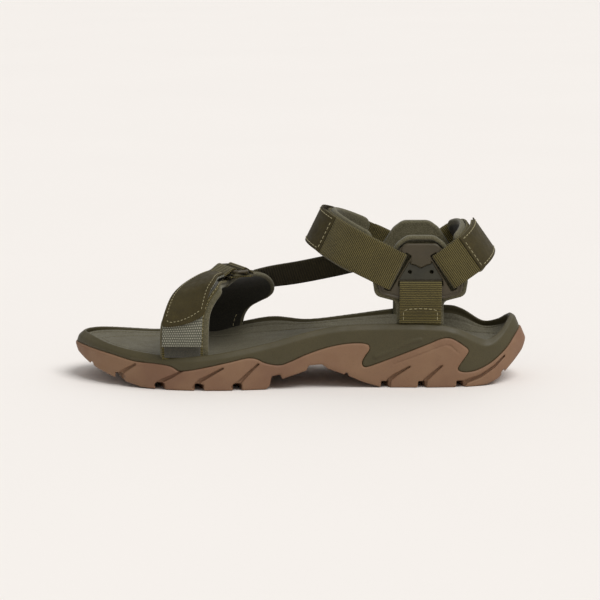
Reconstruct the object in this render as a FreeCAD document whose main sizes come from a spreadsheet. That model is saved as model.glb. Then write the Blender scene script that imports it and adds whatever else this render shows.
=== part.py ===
import FreeCAD, Part
import math
import os
from FreeCAD import Placement, Rotation, Vector

# Strappy sport sandal for a left foot. Millimetres, +Z up, toe towards -X, heel towards +X,
# lateral (outer) side towards -Y, origin on the ground under the middle of the sole.

os.makedirs("parts", exist_ok=True)
doc = FreeCAD.newDocument("sandal")

# ---------------------------------------------------------------- driving dimensions
DIMENSIONS = {
    "sole_span": 110.0,          # extrusion width that clears the sole on both sides
    "sole_height": 60.0,         # extrusion height that clears the rim
    "facet": 0.15,               # how closely the sole's profiles follow their curves
    "wall_step": 0.8,            # how far the rubber wraps stand proud of the foam
    "wrap_thick": 3.3,           # outer wall of the foam to the foam core behind the rubber
    "base_thick": 5.5,           # rubber under the foam, lugs included
    "groove_depth": 4.0,
    "groove_width": 6.0,
    "rim_inset": 5.0,            # outline to footbed edge
    "footbed_thick": 4.0,
    "shank_width": 28.0,
    "shank_thick": 1.6,
    "insert_thick": 5.0,
    "web_width": 25.0,
    "web_thick": 1.6,
    "anchor_width": 26.5,
    "pad_thick": 3.5,
    "pad_inner": 31.5,           # inner face of both ankle pads, from the centre plane
    "plate_thick": 3.0,
    "layer_gap": 0.1,
    "peel_gap": 0.3,             # between hook and loop, so that the tails can open
    "pile_thick": 1.0,
    "hook_thick": 0.8,
    "tab_thick": 1.2,
    "liner_thick": 4.0,
    "liner_width": 28.0,
    "collar_width": 29.0,
    "tab_width": 26.0,
    "ring_width": 34.0,
    "ring_depth": 11.0,
    "ring_bar": 3.0,
    "strap_width": 17.5,         # medial connecting strap
    "plate_centre": 75.5,        # X of both ankle plates
    "loop_reach": 14.4,          # from a slot to the end of the loop that stays on the plate
    "joint_gap": 0.4,            # between a strap's fixed loop and its moving stretch
}
sheet = doc.addObject("Spreadsheet::Sheet", "dims")
for row, (alias, value) in enumerate(DIMENSIONS.items(), start=1):
    sheet.set(f"A{row}", alias)
    sheet.set(f"B{row}", str(value))
    sheet.setAlias(f"B{row}", alias)
doc.recompute()


def dim(alias):
    return float(sheet.get(alias))


# ---------------------------------------------------------------- shared outlines
# Plan of the rubber outsole, anticlockwise from the toe tip along the lateral side.
SOLE_OUTLINE = [
    (-145, 7), (-139.5, -9), (-126, -26), (-105, -41), (-79, -50.3), (-50, -52.5), (-20, -48.5),
    (15, -43.5), (50, -41.7), (80, -42), (105, -39.5), (126, -30.5), (140, -15),
    (145, 0), (140, 15), (126, 30.5), (105, 39.3), (80, 41.7), (50, 38.2), (22, 36),
    (-2, 39), (-26, 46.5), (-50, 52), (-76, 52.3), (-101, 48), (-122, 39.5), (-138, 24),
]
# Top edge of the foam wall along X on each side, toe to heel.
RIM_LATERAL = [
    (-150, 30), (-134, 28.4), (-117, 24.8), (-94, 22.2), (-70, 21.3), (-50, 23.4), (-20, 29.2),
    (7, 36), (32, 39.6), (80, 40), (98, 37.4), (116, 29.4), (122, 29.8), (131, 37), (138, 42),
    (150, 42),
]
RIM_MEDIAL = [
    (-150, 30), (-134, 28.2), (-117, 25), (-94, 22.4), (-70, 22.4), (-45, 26), (-18, 32),
    (5, 31.2), (32, 34.4), (62, 38), (94, 40.2), (106, 38.2), (119, 31.2), (131, 35.5), (138, 42),
    (150, 42),
]
# Top of the footbed along X.
FOOTBED_TOP = [
    (-150, 29), (-134, 25.6), (-110, 21.6), (-80, 19.2), (-55, 19.8), (-25, 23.6), (5, 27.6),
    (35, 29.8), (75, 28.4), (105, 25.4), (124, 27), (134, 31.5), (150, 41),
]
# Underside of the rubber along X: rocker at the toe, flat forefoot, arch, flat heel, rounded back.
TOE_ROCKER = [(-150, 34), (-145.4, 22), (-142, 16.4), (-131.5, 10), (-115.5, 4.2), (-104, 0)]
ARCH = [(-20, 0), (-12, 4.5), (4, 11.2), (12, 13.4), (20, 11.8), (36, 4.8), (50, 0)]
HEEL_ROUND = [(116, 0), (125.5, 3.4), (136, 13), (142.5, 20), (145.3, 27), (150, 40)]
# Upper edge of the rubber on the side wall, toe to heel, with its two hooked crests.
SPLIT_LINE = [
    (-150, 21.8), (-138, 21.6), (-121, 19.8), (-97, 16.6), (-84, 16.2), (-74, 12.3), (-62, 14.1),
    (-44, 18), (-32, 20.4), (-22, 17), (-13, 15.3), (0, 20), (16, 25.6), (34, 28.4), (42, 27.8),
    (43.3, 23.6), (39.4, 17.6), (40, 13.4), (48, 15.1), (72, 24.4), (90, 31.2), (99, 29.2),
    (105.6, 23.8), (103.2, 18), (99.6, 12.6), (103.6, 9.4), (113, 10.8), (124, 17), (135, 27.4),
    (142, 33.4), (150, 37),
]
RIM_FLOOR = -5               # below the ground, where the profiles' volumes end
GROOVES = [-110, -86.5, -63, -39, -15.5, 56.5, 79.5, 104]    # X of the tread grooves
GROOVE_SWEEP = 10.0          # how far a groove runs back at the edge
TOE_GROOVE = -100            # grooves ahead of this are cut deeper, where the rubber curves up
TOE_EXTRA = 3.0
SOLE_END = 150               # every profile along the sole runs from -SOLE_END to SOLE_END


def inset_points(points, distance):
    """The points of a closed outline, each moved to its left by distance."""
    moved = []
    for i, (x, y) in enumerate(points):
        (x0, y0), (x1, y1) = points[i - 1], points[(i + 1) % len(points)]
        length = math.hypot(x1 - x0, y1 - y0)
        moved.append((x - (y1 - y0) / length * distance, y + (x1 - x0) / length * distance))
    return moved


def smooth_edge(vectors, closed=False):
    curve = Part.BSplineCurve()
    curve.interpolate(Points=vectors, PeriodicFlag=closed)
    return curve.toShape()


def profile_face(runs, corners, y):
    """A face in the plane at y: smooth runs of (x, z), faceted finely, then straight through corners."""
    loop = []
    for run in runs:
        loop += smooth_edge([Vector(x, y, z) for x, z in run]).discretize(Deflection=dim("facet"))
    loop += [Vector(x, y, z) for x, z in corners]
    return Part.Face(Part.makePolygon([*loop, loop[0]]))


# ---------------------------------------------------------------- document helpers
def feature(name, shape):
    made = doc.addObject("Part::Feature", name)
    made.Shape = shape
    return made


def extrusion(name, face, direction, length, symmetric=False, label=None):
    """face pushed along direction by a length that follows the sheet."""
    base = feature(name + "_profile", face)
    made = doc.addObject("Part::Extrusion", name)
    made.Base, made.DirMode, made.Dir = base, "Custom", direction
    made.Solid, made.Symmetric = True, symmetric
    made.setExpression("LengthFwd", length)
    made.Label = label or name
    return made


def boolean(kind, name, first, *others):
    """Part::Cut of first by each other in turn, or Part::MultiCommon or MultiFuse of them all."""
    if kind == "Part::Cut":
        for i, other in enumerate(others):
            made = doc.addObject(kind, name if i == len(others) - 1 else f"{name}_step{i}")
            made.Base, made.Tool = first, other
            first = made
    else:
        made = doc.addObject(kind, name)
        made.Shapes = [first, *others]
    made.Label = name
    return made


PARTS = []


def part(made, label):
    """made is a sub-part: its Label names its file."""
    made.Label = label
    PARTS.append(made)
    return made


def rounded_outline(corners):
    """Line and arc geometry of a closed polygon of (x, y, radius) corners."""
    cuts = []
    for i, (x, y, radius) in enumerate(corners):
        before, after = corners[i - 1], corners[(i + 1) % len(corners)]
        p = Vector(x, y, 0)
        back = (Vector(before[0], before[1], 0) - p).normalize()
        ahead = (Vector(after[0], after[1], 0) - p).normalize()
        if radius == 0:
            cuts.append((p, None, p))
            continue
        half = back.getAngle(ahead) / 2
        reach = radius / math.tan(half)
        middle = p + (back + ahead).normalize() * (radius / math.sin(half) - radius)
        cuts.append((p + back * reach, middle, p + ahead * reach))
    geometry = []
    for (start, middle, end), (following, _, _) in zip(cuts, cuts[1:] + cuts[:1]):
        if middle is not None:
            geometry.append(Part.Arc(start, middle, end))
        geometry.append(Part.LineSegment(end, following))
    return geometry


def body_with_sketch(name, plane, loops):
    """A PartDesign body with one sketch on an origin plane, made of closed loops of geometry."""
    body = doc.addObject("PartDesign::Body", name)
    sketch = body.newObject("Sketcher::SketchObject", name + "_sketch")
    support = next(o for o in body.Origin.OriginFeatures if o.Role == plane)
    sketch.AttachmentSupport = [(support, "")]
    sketch.MapMode = "FlatFace"
    for loop in loops:
        sketch.addGeometry(loop, False)
    return body, sketch


def pad(body, sketch, name, length, midplane=True):
    made = body.newObject("PartDesign::Pad", name + "_pad")
    made.Profile = sketch
    made.setExpression("Length", length)
    made.Midplane = midplane
    doc.recompute()
    return made


# ---------------------------------------------------------------- sole unit
def plan_face(distance):
    points = [Vector(x, y, 0) for x, y in inset_points(SOLE_OUTLINE, distance)]
    return Part.Face(Part.Wire([smooth_edge(points, closed=True)]))


def underside_face(lift=0.0):
    """Everything above the rubber's underside, raised by lift, in the XZ plane."""
    raised = [[(x, z + lift) for x, z in run] for run in (TOE_ROCKER, ARCH, HEEL_ROUND)]
    top = dim("sole_height")
    return profile_face(raised, [(SOLE_END, top), (-SOLE_END, top)], -dim("sole_span") / 2)


def rim_solid():
    """Everything below a surface ruled between the lateral and the medial rim."""
    wires = []
    for points, side in ((RIM_LATERAL, -1), (RIM_MEDIAL, 1)):
        y = side * dim("sole_span") / 2
        rim = smooth_edge([Vector(x, y, z) for x, z in points])
        across = [Vector(x, y, RIM_FLOOR) for x in (SOLE_END, -SOLE_END)]
        chain = [rim.Vertexes[-1].Point, *across, rim.Vertexes[0].Point]
        lines = [Part.LineSegment(a, b).toShape() for a, b in zip(chain, chain[1:])]
        wires.append(Part.Wire([rim, *lines]))
    return feature("rim_volume", Part.makeLoft(wires, True, True))


def groove_shape():
    """The tread grooves as one compound of swept-back V prisms, and a groove down the forefoot."""
    half, depth, reach = dim("groove_width") / 2, dim("groove_depth"), dim("sole_span") / 2
    solids = []
    for x in GROOVES:
        plan = [
            (x - half, 0), (x - half + GROOVE_SWEEP, -reach), (x + half + GROOVE_SWEEP, -reach),
            (x + half, 0), (x + half + GROOVE_SWEEP, reach), (x - half + GROOVE_SWEEP, reach),
        ]
        extra = 0.0 if x > TOE_GROOVE else TOE_EXTRA
        loop = [Vector(px, py, -1) for px, py in plan]
        face = Part.Face(Part.makePolygon([*loop, loop[0]]))
        solids.append(face.extrude(Vector(0, 0, 1 + depth + extra)))
    spine = Part.makeBox(85, 7, 1 + depth, Vector(-98, -2, -1))
    return Part.makeCompound([*solids, spine])


def sole_unit():
    span = "dims.sole_span"
    rim = rim_solid()
    above = extrusion("above_underside", underside_face(), Vector(0, 1, 0), span)
    above_base = extrusion("above_base", underside_face(dim("base_thick")), Vector(0, 1, 0), span)
    y = -dim("sole_span") / 2
    floor = [(SOLE_END, RIM_FLOOR), (-SOLE_END, RIM_FLOOR)]
    split = profile_face([SPLIT_LINE], floor, y)
    below_split = extrusion("below_split", split, Vector(0, 1, 0), span)
    rubber_plan = extrusion("rubber_plan", plan_face(0), Vector(0, 0, 1), "dims.sole_height")
    foam_plan = extrusion("foam_plan", plan_face(dim("wall_step")), Vector(0, 0, 1), "dims.sole_height")
    core_plan = extrusion("core_plan", plan_face(dim("wrap_thick")), Vector(0, 0, 1), "dims.sole_height")
    inner_plan = extrusion("inner_plan", plan_face(dim("rim_inset")), Vector(0, 0, 1), "dims.sole_height")

    side_view = boolean("Part::MultiCommon", "rubber_side_view", above, below_split)
    rubber_blank = boolean("Part::MultiCommon", "rubber_blank", rubber_plan, side_view)
    core = boolean("Part::MultiCommon", "foam_core", core_plan, above_base)
    rubber = boolean("Part::Cut", "rubber_uncut", rubber_blank, core)
    outsole = boolean("Part::Cut", "outsole", rubber, feature("tread_grooves", groove_shape()))

    floor_line = [(x, z - dim("footbed_thick")) for x, z in FOOTBED_TOP]
    top_face = profile_face([FOOTBED_TOP], floor, y)
    top = dim("sole_height")
    floor_face = profile_face([floor_line], [(SOLE_END, top), (-SOLE_END, top)], y)
    below_top = extrusion("below_footbed_top", top_face, Vector(0, 1, 0), span)
    above_floor = extrusion("above_footbed_floor", floor_face, Vector(0, 1, 0), span)
    slots = feature("strap_slots", slot_shapes())
    bed_side_view = boolean("Part::MultiCommon", "bed_side_view", above_floor, below_top)
    footbed_blank = boolean("Part::MultiCommon", "footbed_blank", inner_plan, bed_side_view)
    footbed = boolean("Part::Cut", "footbed", footbed_blank, slots)

    cavity = boolean("Part::MultiCommon", "footbed_cavity", inner_plan, above_floor)
    foam_side_view = boolean("Part::MultiCommon", "foam_side_view", above, rim)
    foam_blank = boolean("Part::MultiCommon", "foam_blank", foam_plan, foam_side_view)
    midsole = boolean(
        "Part::Cut", "midsole", foam_blank, rubber, cavity, slots, shank_body(), heel_insert_body()
    )
    part(outsole, "outsole")
    part(midsole, "midsole")
    part(footbed, "footbed")


SLOT_FLOOR = 26.0            # where the ankle anchors end inside the sole
LATERAL_SEAM = 17.2          # where the forefoot straps end inside the sole
MEDIAL_SEAM = 20.2


def slot_shapes():
    """The slits in the rim that the ankle pads and the forefoot straps go down into."""
    centre, half = dim("plate_centre"), 16.2
    outer = dim("pad_inner") + dim("pad_thick") + 2 * (dim("web_thick") + dim("layer_gap")) + 0.1
    depth = outer - dim("pad_inner") + 0.1
    boxes = []
    tall = dim("sole_height") - SLOT_FLOOR
    for side in (-1, 1):
        y = -outer if side < 0 else dim("pad_inner") - 0.1
        boxes.append(Part.makeBox(2 * half, depth, tall, Vector(centre - half, y, SLOT_FLOOR)))
    boxes.append(Part.makeBox(33, 6.8, tall, Vector(-89.3, -48, LATERAL_SEAM - 0.2)))
    boxes.append(Part.makeBox(34, 5.8, tall, Vector(-68.8, 42.2, MEDIAL_SEAM - 0.2)))
    return Part.makeCompound(boxes)


def shank_body():
    """The nylon stiffener through the arch, bent to the foam above it."""
    rise = [(-20, 13.4), (5, 19.6), (35, 20), (65, 14), (80, 11.4)]
    thick = dim("shank_thick")
    lower = smooth_edge([Vector(x, z, 0) for x, z in rise]).Curve
    upper = smooth_edge([Vector(x, z + thick, 0) for x, z in rise]).Curve
    (x0, z0), (x1, z1) = rise[0], rise[-1]
    ends = [
        Part.LineSegment(Vector(x1, z1, 0), Vector(x1, z1 + thick, 0)),
        Part.LineSegment(Vector(x0, z0 + thick, 0), Vector(x0, z0, 0)),
    ]
    body, sketch = body_with_sketch("shank", "XZ_Plane", [[lower, upper, *ends]])
    pad(body, sketch, "shank", "dims.shank_width")
    return part(body, "shank")


def heel_insert_body():
    """The oval shock pad set into the foam under the heel."""
    oval = Part.Ellipse(Vector(104, 0, 0), 26, 20)
    body, sketch = body_with_sketch("heel_insert", "XY_Plane", [[oval]])
    pad(body, sketch, "heel_insert", "dims.insert_thick", midplane=False)
    body.Placement = Placement(Vector(0, 0, 15.4), Rotation())
    return part(body, "heel_insert")


# ---------------------------------------------------------------- ankle plates, pads and anchors
# Half outlines from the plate's middle, as (offset along X, height, corner radius).
PLATE_HALF = [(9.8, 91.4, 4), (13.8, 87.2, 5), (27, 66, 5), (25.4, 59.2, 4), (15, 56.4, 3)]
PAD_HALF = [
    (8.6, 96, 8), (14.8, 91.4, 9), (30.2, 68, 6), (28.4, 57.4, 5), (14.9, 53.8, 3), (14.9, 26.3, 1),
]


def mirrored(half):
    centre = dim("plate_centre")
    right = [(centre + x, z, r) for x, z, r in half]
    left = [(centre - x, z, r) for x, z, r in reversed(half)]
    return right + left


def plate_slots():
    """The three strap slots: one along each sloping side and one across the foot of the plate."""
    centre = dim("plate_centre")
    side = [(6.2, 83.6), (19.4, 61.4), (22.5, 63.2), (9.3, 85.4)]
    loops = [rounded_outline([(centre + k * x, z, 0.8) for x, z in side]) for k in (1, -1)]
    foot = [(-13.6, 64.8), (13.6, 64.8), (13.6, 67.6), (-13.6, 67.6)]
    loops.append(rounded_outline([(centre + x, z, 0.8) for x, z in foot]))
    return loops


def ankle_side(name, side):
    """Pad, plate and anchor webbing of one side; side is -1 lateral, 1 medial."""
    inner, pad_thick = dim("pad_inner"), dim("pad_thick")
    gap, web = dim("layer_gap"), dim("web_thick")
    outline = rounded_outline(mirrored(PAD_HALF))
    body, sketch = body_with_sketch(f"{name}_ankle_pad", "XZ_Plane", [outline])
    pad(body, sketch, f"{name}_ankle_pad", "dims.pad_thick")
    body.Placement = Placement(Vector(0, side * (inner + pad_thick / 2), 0), Rotation())
    part(body, f"{name}_ankle_pad")

    plate_middle = inner + pad_thick + web + 2 * gap + dim("plate_thick") / 2
    loops = [rounded_outline(mirrored(PLATE_HALF)), *plate_slots()]
    body, sketch = body_with_sketch(f"{name}_ankle_plate", "XZ_Plane", loops)
    pad(body, sketch, f"{name}_ankle_plate", "dims.plate_thick")
    body.Placement = Placement(Vector(0, side * plate_middle, 0), Rotation())
    part(body, f"{name}_ankle_plate")

    a0 = inner + pad_thick + gap                 # inner face of the rising layer
    a1, b0 = a0 + web, plate_middle + dim("plate_thick") / 2 + gap
    b1, c0 = b0 + web, a0 + web + gap
    c1 = c0 + web
    # up behind the plate's foot bar, out through its slot and down to the seam above the rim
    section = [
        (a0, SLOT_FLOOR + 0.2), (a1, SLOT_FLOOR + 0.2), (a1, 65.4), (b0, 65.4), (b0, 54), (c0, 47),
        (c0, 43.5), (c1, 43.5), (c1, 46.6), (b1, 53.6), (b1, 67), (a0, 67),
    ]
    x = dim("plate_centre") - dim("anchor_width") / 2
    loop = [Vector(x, side * y, z) for y, z in section]
    face = Part.Face(Part.makePolygon([*loop, loop[0]]))
    anchor = extrusion(f"{name}_anchor", face, Vector(1, 0, 0), "dims.anchor_width")
    part(anchor, f"{name}_anchor_webbing")


# ---------------------------------------------------------------- instep and heel loops
# Each strap is a band pushed along its own tilted axis. Its plan, seen down that axis, runs from
# the plates' slots round the ankle: (distance from the slots, half width), on the inner face.
INSTEP = {
    "name": "instep", "slot": (61.15, 73.4), "ahead": (-0.899, 0.438),
    "plan": [(-1, 35.4), (16, 35.4), (25, 34), (36, 29.4), (45, 21.6), (51.5, 11.5), (53.6, 0)],
}
HEEL = {
    "name": "heel", "slot": (89.85, 73.4), "ahead": (0.819, 0.574),
    "plan": [(-1, 35.5), (15, 35.5), (18.5, 34), (22, 29.5), (25, 21.5), (26.8, 11.5), (27.4, 0)],
}


class Loop:
    """Maps a strap's plan to space and makes bands that follow it."""

    def __init__(self, data):
        self.data = data
        ax, az = data["ahead"]
        size = math.hypot(ax, az)
        self.ahead = Vector(ax / size, 0, az / size)
        up = self.ahead.cross(Vector(0, 1, 0))
        self.axis = up if up.z > 0 else -up
        x, z = data["slot"]
        self.origin = Vector(x, 0, z)
        half = data["plan"]
        lateral = [Vector(a, -b, 0) for a, b in half]
        medial = [Vector(a, b, 0) for a, b in reversed(half[:-1])]
        self.curve = smooth_edge(lateral + medial).Curve

    def parameter(self, distance, side):
        """Curve parameter at a distance ahead of the slots, on the lateral (-1) or medial (1) leg."""
        first, last = self.curve.FirstParameter, self.curve.LastParameter
        apex = (first + last) / 2
        low, high = (first, apex) if side < 0 else (apex, last)
        for _ in range(50):
            middle = (low + high) / 2
            if (self.curve.value(middle).x < distance) == (side < 0):
                low = middle
            else:
                high = middle
        return (low + high) / 2

    def at(self, t, offset):
        tangent = self.curve.tangent(t)[0]
        outward = Vector(tangent.y, -tangent.x, 0)
        flat = self.curve.value(t) + outward * offset
        return self.place(flat)

    def place(self, flat):
        return self.origin + self.ahead * flat.x + Vector(0, flat.y, 0)

    def band(self, label, t0, t1, inner, outer, width):
        """A strap between two curve parameters and two distances from the inner face."""
        steps = 12
        ts = [t0 + (t1 - t0) * i / steps for i in range(steps + 1)]
        inside = smooth_edge([self.at(t, inner) for t in ts])
        outside = smooth_edge([self.at(t, outer) for t in reversed(ts)])
        return self.extruded(label, closed_ring([inside, outside]), width)

    def extruded(self, label, face, width):
        return part(extrusion(label, face, self.axis, width, symmetric=True), label)


def closed_ring(edges):
    """A face bounded by edges joined end to start with straight lines."""
    chain = []
    for i, edge in enumerate(edges):
        following = edges[(i + 1) % len(edges)]
        gap = Part.LineSegment(edge.Vertexes[-1].Point, following.Vertexes[0].Point)
        chain += [edge, gap.toShape()]
    return Part.Face(Part.Wire(chain))


def slot_loop(loop, label, side):
    """The webbing's turn round the plate's side bar: behind the bar, out of the slot, over the bar."""
    web, gap, reach = dim("web_thick"), dim("layer_gap"), dim("loop_reach") + 1
    inner = dim("pad_inner") + dim("pad_thick") + gap
    outer = inner + web + dim("plate_thick") + 2 * gap
    path = [
        (reach, inner), (reach, inner + web), (0.8, inner + web), (0.8, outer),
        (reach, outer), (reach, outer + web), (-0.8, outer + web), (-0.8, inner),
    ]
    points = [loop.place(Vector(a, side * b, 0)) for a, b in path]
    face = Part.Face(Part.makePolygon([*points, points[0]]))
    turn = extrusion(label + "_turn", face, loop.axis, "dims.web_width - 1", symmetric=True)
    # the strap swings about the slot, so the loop ends in an arc about it
    swing = doc.addObject("Part::Cylinder", label + "_swing")
    swing.setExpression("Radius", "dims.loop_reach")
    swing.setExpression("Height", "dims.sole_span")
    half_span = Vector(0, dim("sole_span") / 2, 0)
    swing.Placement = Placement(loop.origin + half_span, Rotation(Vector(1, 0, 0), 90))
    return part(boolean("Part::MultiCommon", label, turn, swing), label)


def ankle_strap(data, tail_turn, tab_start, tab_end, pad_start):
    """One adjustable strap; the four places are distances ahead of the slots."""
    loop, name = Loop(data), data["name"]
    web, gap = dim("web_thick"), dim("layer_gap")
    start = dim("loop_reach") + dim("joint_gap")
    lateral, medial = loop.parameter(start, -1), loop.parameter(start, 1)
    slot_loop(loop, f"{name}_lateral_loop", -1)
    slot_loop(loop, f"{name}_medial_loop", 1)
    loop.band(f"{name}_webbing", lateral, medial, 0, web, "dims.web_width")
    pad_ends = loop.parameter(pad_start, -1), loop.parameter(pad_start, 1)
    width = "dims.liner_width" if name == "instep" else "dims.collar_width"
    loop.band(f"{name}_pad", *pad_ends, -gap - dim("liner_thick"), -gap, width)

    pile0 = web + gap
    hook0 = pile0 + dim("pile_thick") + dim("peel_gap")
    tail0 = hook0 + dim("hook_thick") + gap
    tab0 = tail0 + web + gap
    first, turn = loop.parameter(start + 2, -1), loop.parameter(tail_turn, -1)
    tab_t = loop.parameter(tab_start, -1), loop.parameter(tab_end, 1)
    pile1, hook1 = pile0 + dim("pile_thick"), hook0 + dim("hook_thick")
    hooked = loop.parameter(start + 6, -1)
    loop.band(f"{name}_loop_patch", first, turn, pile0, pile1, "dims.web_width - 3")
    loop.band(f"{name}_hook_patch", hooked, turn, hook0, hook1, "dims.web_width - 4")
    webbing_end = loop.parameter(tab_start + 4, -1)
    loop.band(f"{name}_tail_webbing", first, webbing_end, tail0, tail0 + web, "dims.web_width")
    loop.band(f"{name}_pull_tab", *tab_t, tab0, tab0 + dim("tab_thick"), "dims.tab_width")


# ---------------------------------------------------------------- forefoot straps
# Stations of the outer face of the padded liner: point, direction across the strap.
LATERAL_ARCH = [
    ((-73.5, -45.5, LATERAL_SEAM), (1, 0, 0)), ((-73.5, -45.7, 24), (1, 0, 0)),
    ((-73.5, -45.8, 33.5), (1, 0, 0)), ((-72.5, -43.9, 45), (1, 0, 0.12)),
    ((-68.2, -40.2, 53.2), (0.97, -0.12, 0.2)), ((-62.6, -33.4, 58.8), (0.86, -0.45, 0.2)),
    ((-56.6, -21.5, 62.6), (0.52, -0.84, 0.12)), ((-52.4, -10, 63.4), (0.42, -0.9, 0.08)),
]
MEDIAL_ARCH = [
    ((-44.5, 8, 63.6), (1, 0.3, 0.1), 20), ((-42, 20, 62.4), (1, 0.15, 0.1), 29),
    ((-39.3, 31.5, 57.2), (1, 0.08, 0.1), 38), ((-38.9, 39.5, 48.2), (1, 0.02, 0.08), 44),
    ((-43.5, 43.4, 40.3), (1, 0, 0.08), 40), ((-49.5, 44.9, 32), (1, 0, 0), 30),
    ((-51.7, 45.2, 26), (1, 0, 0), 28.5), ((-51.8, 45.2, MEDIAL_SEAM), (1, 0, 0), 28.5),
]


SECTION_PITCH = 3.0          # spacing of the sections that a strap is lofted through


def blend(values, k, share):
    """A smooth curve through values, a share of the way from values[k] to the next."""
    before, after = values[max(k - 1, 0)], values[min(k + 2, len(values) - 1)]
    a, b = values[k], values[k + 1]
    linear = (b - before) * share
    square = (before * 2 - a * 5 + b * 4 - after) * share**2
    cube = (a * 3 - before - b * 3 + after) * share**3
    return a + (linear + square + cube) * 0.5


def even_stations(stations, widths, span):
    """Stations along a smooth curve through the given ones: point, across, along, width.

    span is the stretch that is used, in millimetres from the curve's start; its end may be None.
    The stations lie on one grid whatever the span, so that layers on one path never touch.
    """
    points = [Vector(*point) for point, _ in stations]
    across = [Vector(*direction).normalize() for _, direction in stations]
    path = Part.BSplineCurve()
    path.interpolate(points)
    knots = [path.parameter(p) for p in points]
    start, end = span[0], span[1] or path.length()
    grid = [SECTION_PITCH * i for i in range(int(path.length() / SECTION_PITCH) + 1)]
    places = [start, *(s for s in grid if start + 1 < s < end - 1), end]
    made = []
    for place in places:
        t = path.parameterAtDistance(place, path.FirstParameter)
        k = max(j for j in range(len(knots) - 1) if knots[j] <= t + 1e-9)
        share = (t - knots[k]) / (knots[k + 1] - knots[k])
        direction, width = blend(across, k, share).normalize(), blend(widths, k, share)
        made.append((path.value(t), direction, path.tangent(t)[0], width))
    return made


def strap_solid(label, stations, widths, inner, outer, shift=0.0, span=(0, None)):
    """A smooth loft of flat sections across stations, between two distances from the reference face."""
    sections = []
    for p, w, along, width in even_stations(stations, widths, span):
        normal = w.cross(along).normalize()
        if normal.dot(p - Vector(p.x, 0, 30)) < 0:
            normal = -normal
        half = width / 2
        middle = p + w * shift
        corners = [
            middle - w * half + normal * inner, middle + w * half + normal * inner,
            middle + w * half + normal * outer, middle - w * half + normal * outer,
        ]
        sections.append(Part.makePolygon([*corners, corners[0]]))
    return part(feature(label, Part.makeLoft(sections, True, False)), label)


def lateral_layer(label, width, inner, thick, shift=0.0, span=(0, None)):
    """One layer of the lateral forefoot strap; width is one number or one for each station."""
    widths = width if isinstance(width, list) else [width] * len(LATERAL_ARCH)
    return strap_solid(label, LATERAL_ARCH, widths, inner, inner + thick, shift, span)


def forefoot():
    gap, web, pad_thick = dim("layer_gap"), dim("web_thick"), dim("pad_thick")
    lateral_layer("forefoot_liner", 31, -pad_thick, pad_thick, shift=1)
    lateral_layer("forefoot_base_strap", 26, gap, web)
    pile0 = web + 2 * gap
    lateral_layer("forefoot_loop_patch", 24, pile0, dim("pile_thick"), span=(7, 62))
    hook0 = pile0 + dim("pile_thick") + dim("peel_gap")
    lateral_layer("forefoot_hook_patch", 22, hook0, dim("hook_thick"), span=(23, 52))
    flap0 = hook0 + dim("hook_thick") + 3 * gap
    lateral_layer("forefoot_flap_webbing", 25, flap0, web, span=(10.8, None))
    cover0 = flap0 + web + 4 * gap
    cover_widths = [18, 18, 18.6, 25.2, 25.6, 25.6, 25.4, 25]
    lateral_layer("forefoot_flap_overlay", cover_widths, cover0, dim("tab_thick"), span=(21.6, None))

    medial = [(p, w) for p, w, _ in MEDIAL_ARCH]
    widths = [width for _, _, width in MEDIAL_ARCH]
    liner_widths = [w + 2 for w in widths[:-2]] + widths[-2:]
    strap_solid("medial_quarter_liner", medial, liner_widths, -2.6, 0)
    strap_solid("medial_quarter", medial, widths, gap, gap + 1.4)


RING_AT = Vector(-43.2, -5.6, 70.4)
RING_TURN = -65.0            # the ring's long side runs across the strap, turned from +X about Z


def rectangle(width, height, radius):
    """Line and arc geometry of a rounded rectangle about the origin."""
    corners = [(-1, -1), (1, -1), (1, 1), (-1, 1)]
    return rounded_outline([(x * width / 2, y * height / 2, radius) for x, y in corners])


def ring_body():
    """The rectangular loop that the flap turns round, between the flap and its keeper."""
    long, short, bar = dim("ring_width"), dim("ring_depth"), dim("ring_bar")
    loops = [rectangle(long, short, 3.0), rectangle(long - 2 * bar, short - 2 * bar, 1.0)]
    body, sketch = body_with_sketch("forefoot_ring", "XY_Plane", loops)
    pad(body, sketch, "forefoot_ring", "dims.ring_bar - 0.6")
    body.Placement = Placement(RING_AT, Rotation(Vector(0, 0, 1), RING_TURN))
    return part(body, "forefoot_ring")


def ring_keeper():
    """The short webbing that holds the ring down on the medial quarter."""
    stations = [
        ((-41.2, 2.5, 66.6), (0.8, -0.6, 0)), ((-40, 9, 66.5), (0.9, -0.42, 0.06)),
        ((-38.5, 18.5, 65.7), (1, -0.2, 0.1)),
    ]
    return strap_solid("forefoot_ring_keeper", stations, [22] * 3, 0.6, 0.6 + dim("web_thick"))


def connecting_strap():
    """The narrow webbing along the medial side, from the forefoot quarter to the ankle plate."""
    stations = [
        ((-31, 37, 56), (0.1, -0.62, 0.78)), ((-19, 41.2, 57.4), (0.16, -0.42, 0.9)),
        ((0, 43.4, 60), (0.18, -0.28, 0.94)), ((24, 43.6, 65), (0.2, -0.16, 0.96)),
        ((42, 42.6, 69.6), (0.22, -0.04, 0.97)), ((56, 42.4, 73), (0.22, 0, 0.97)),
    ]
    widths = [dim("strap_width")] * len(stations)
    return strap_solid("connecting_strap", stations, widths, 0, 1.5)


# ---------------------------------------------------------------- build, check, write
sole_unit()
ankle_side("lateral", -1)
ankle_side("medial", 1)
ankle_strap(INSTEP, tail_turn=50, tab_start=45, tab_end=43, pad_start=23)
ankle_strap(HEEL, tail_turn=23.5, tab_start=17.5, tab_end=26, pad_start=17)
forefoot()
ring_body()
ring_keeper()
connecting_strap()
doc.recompute()

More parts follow.
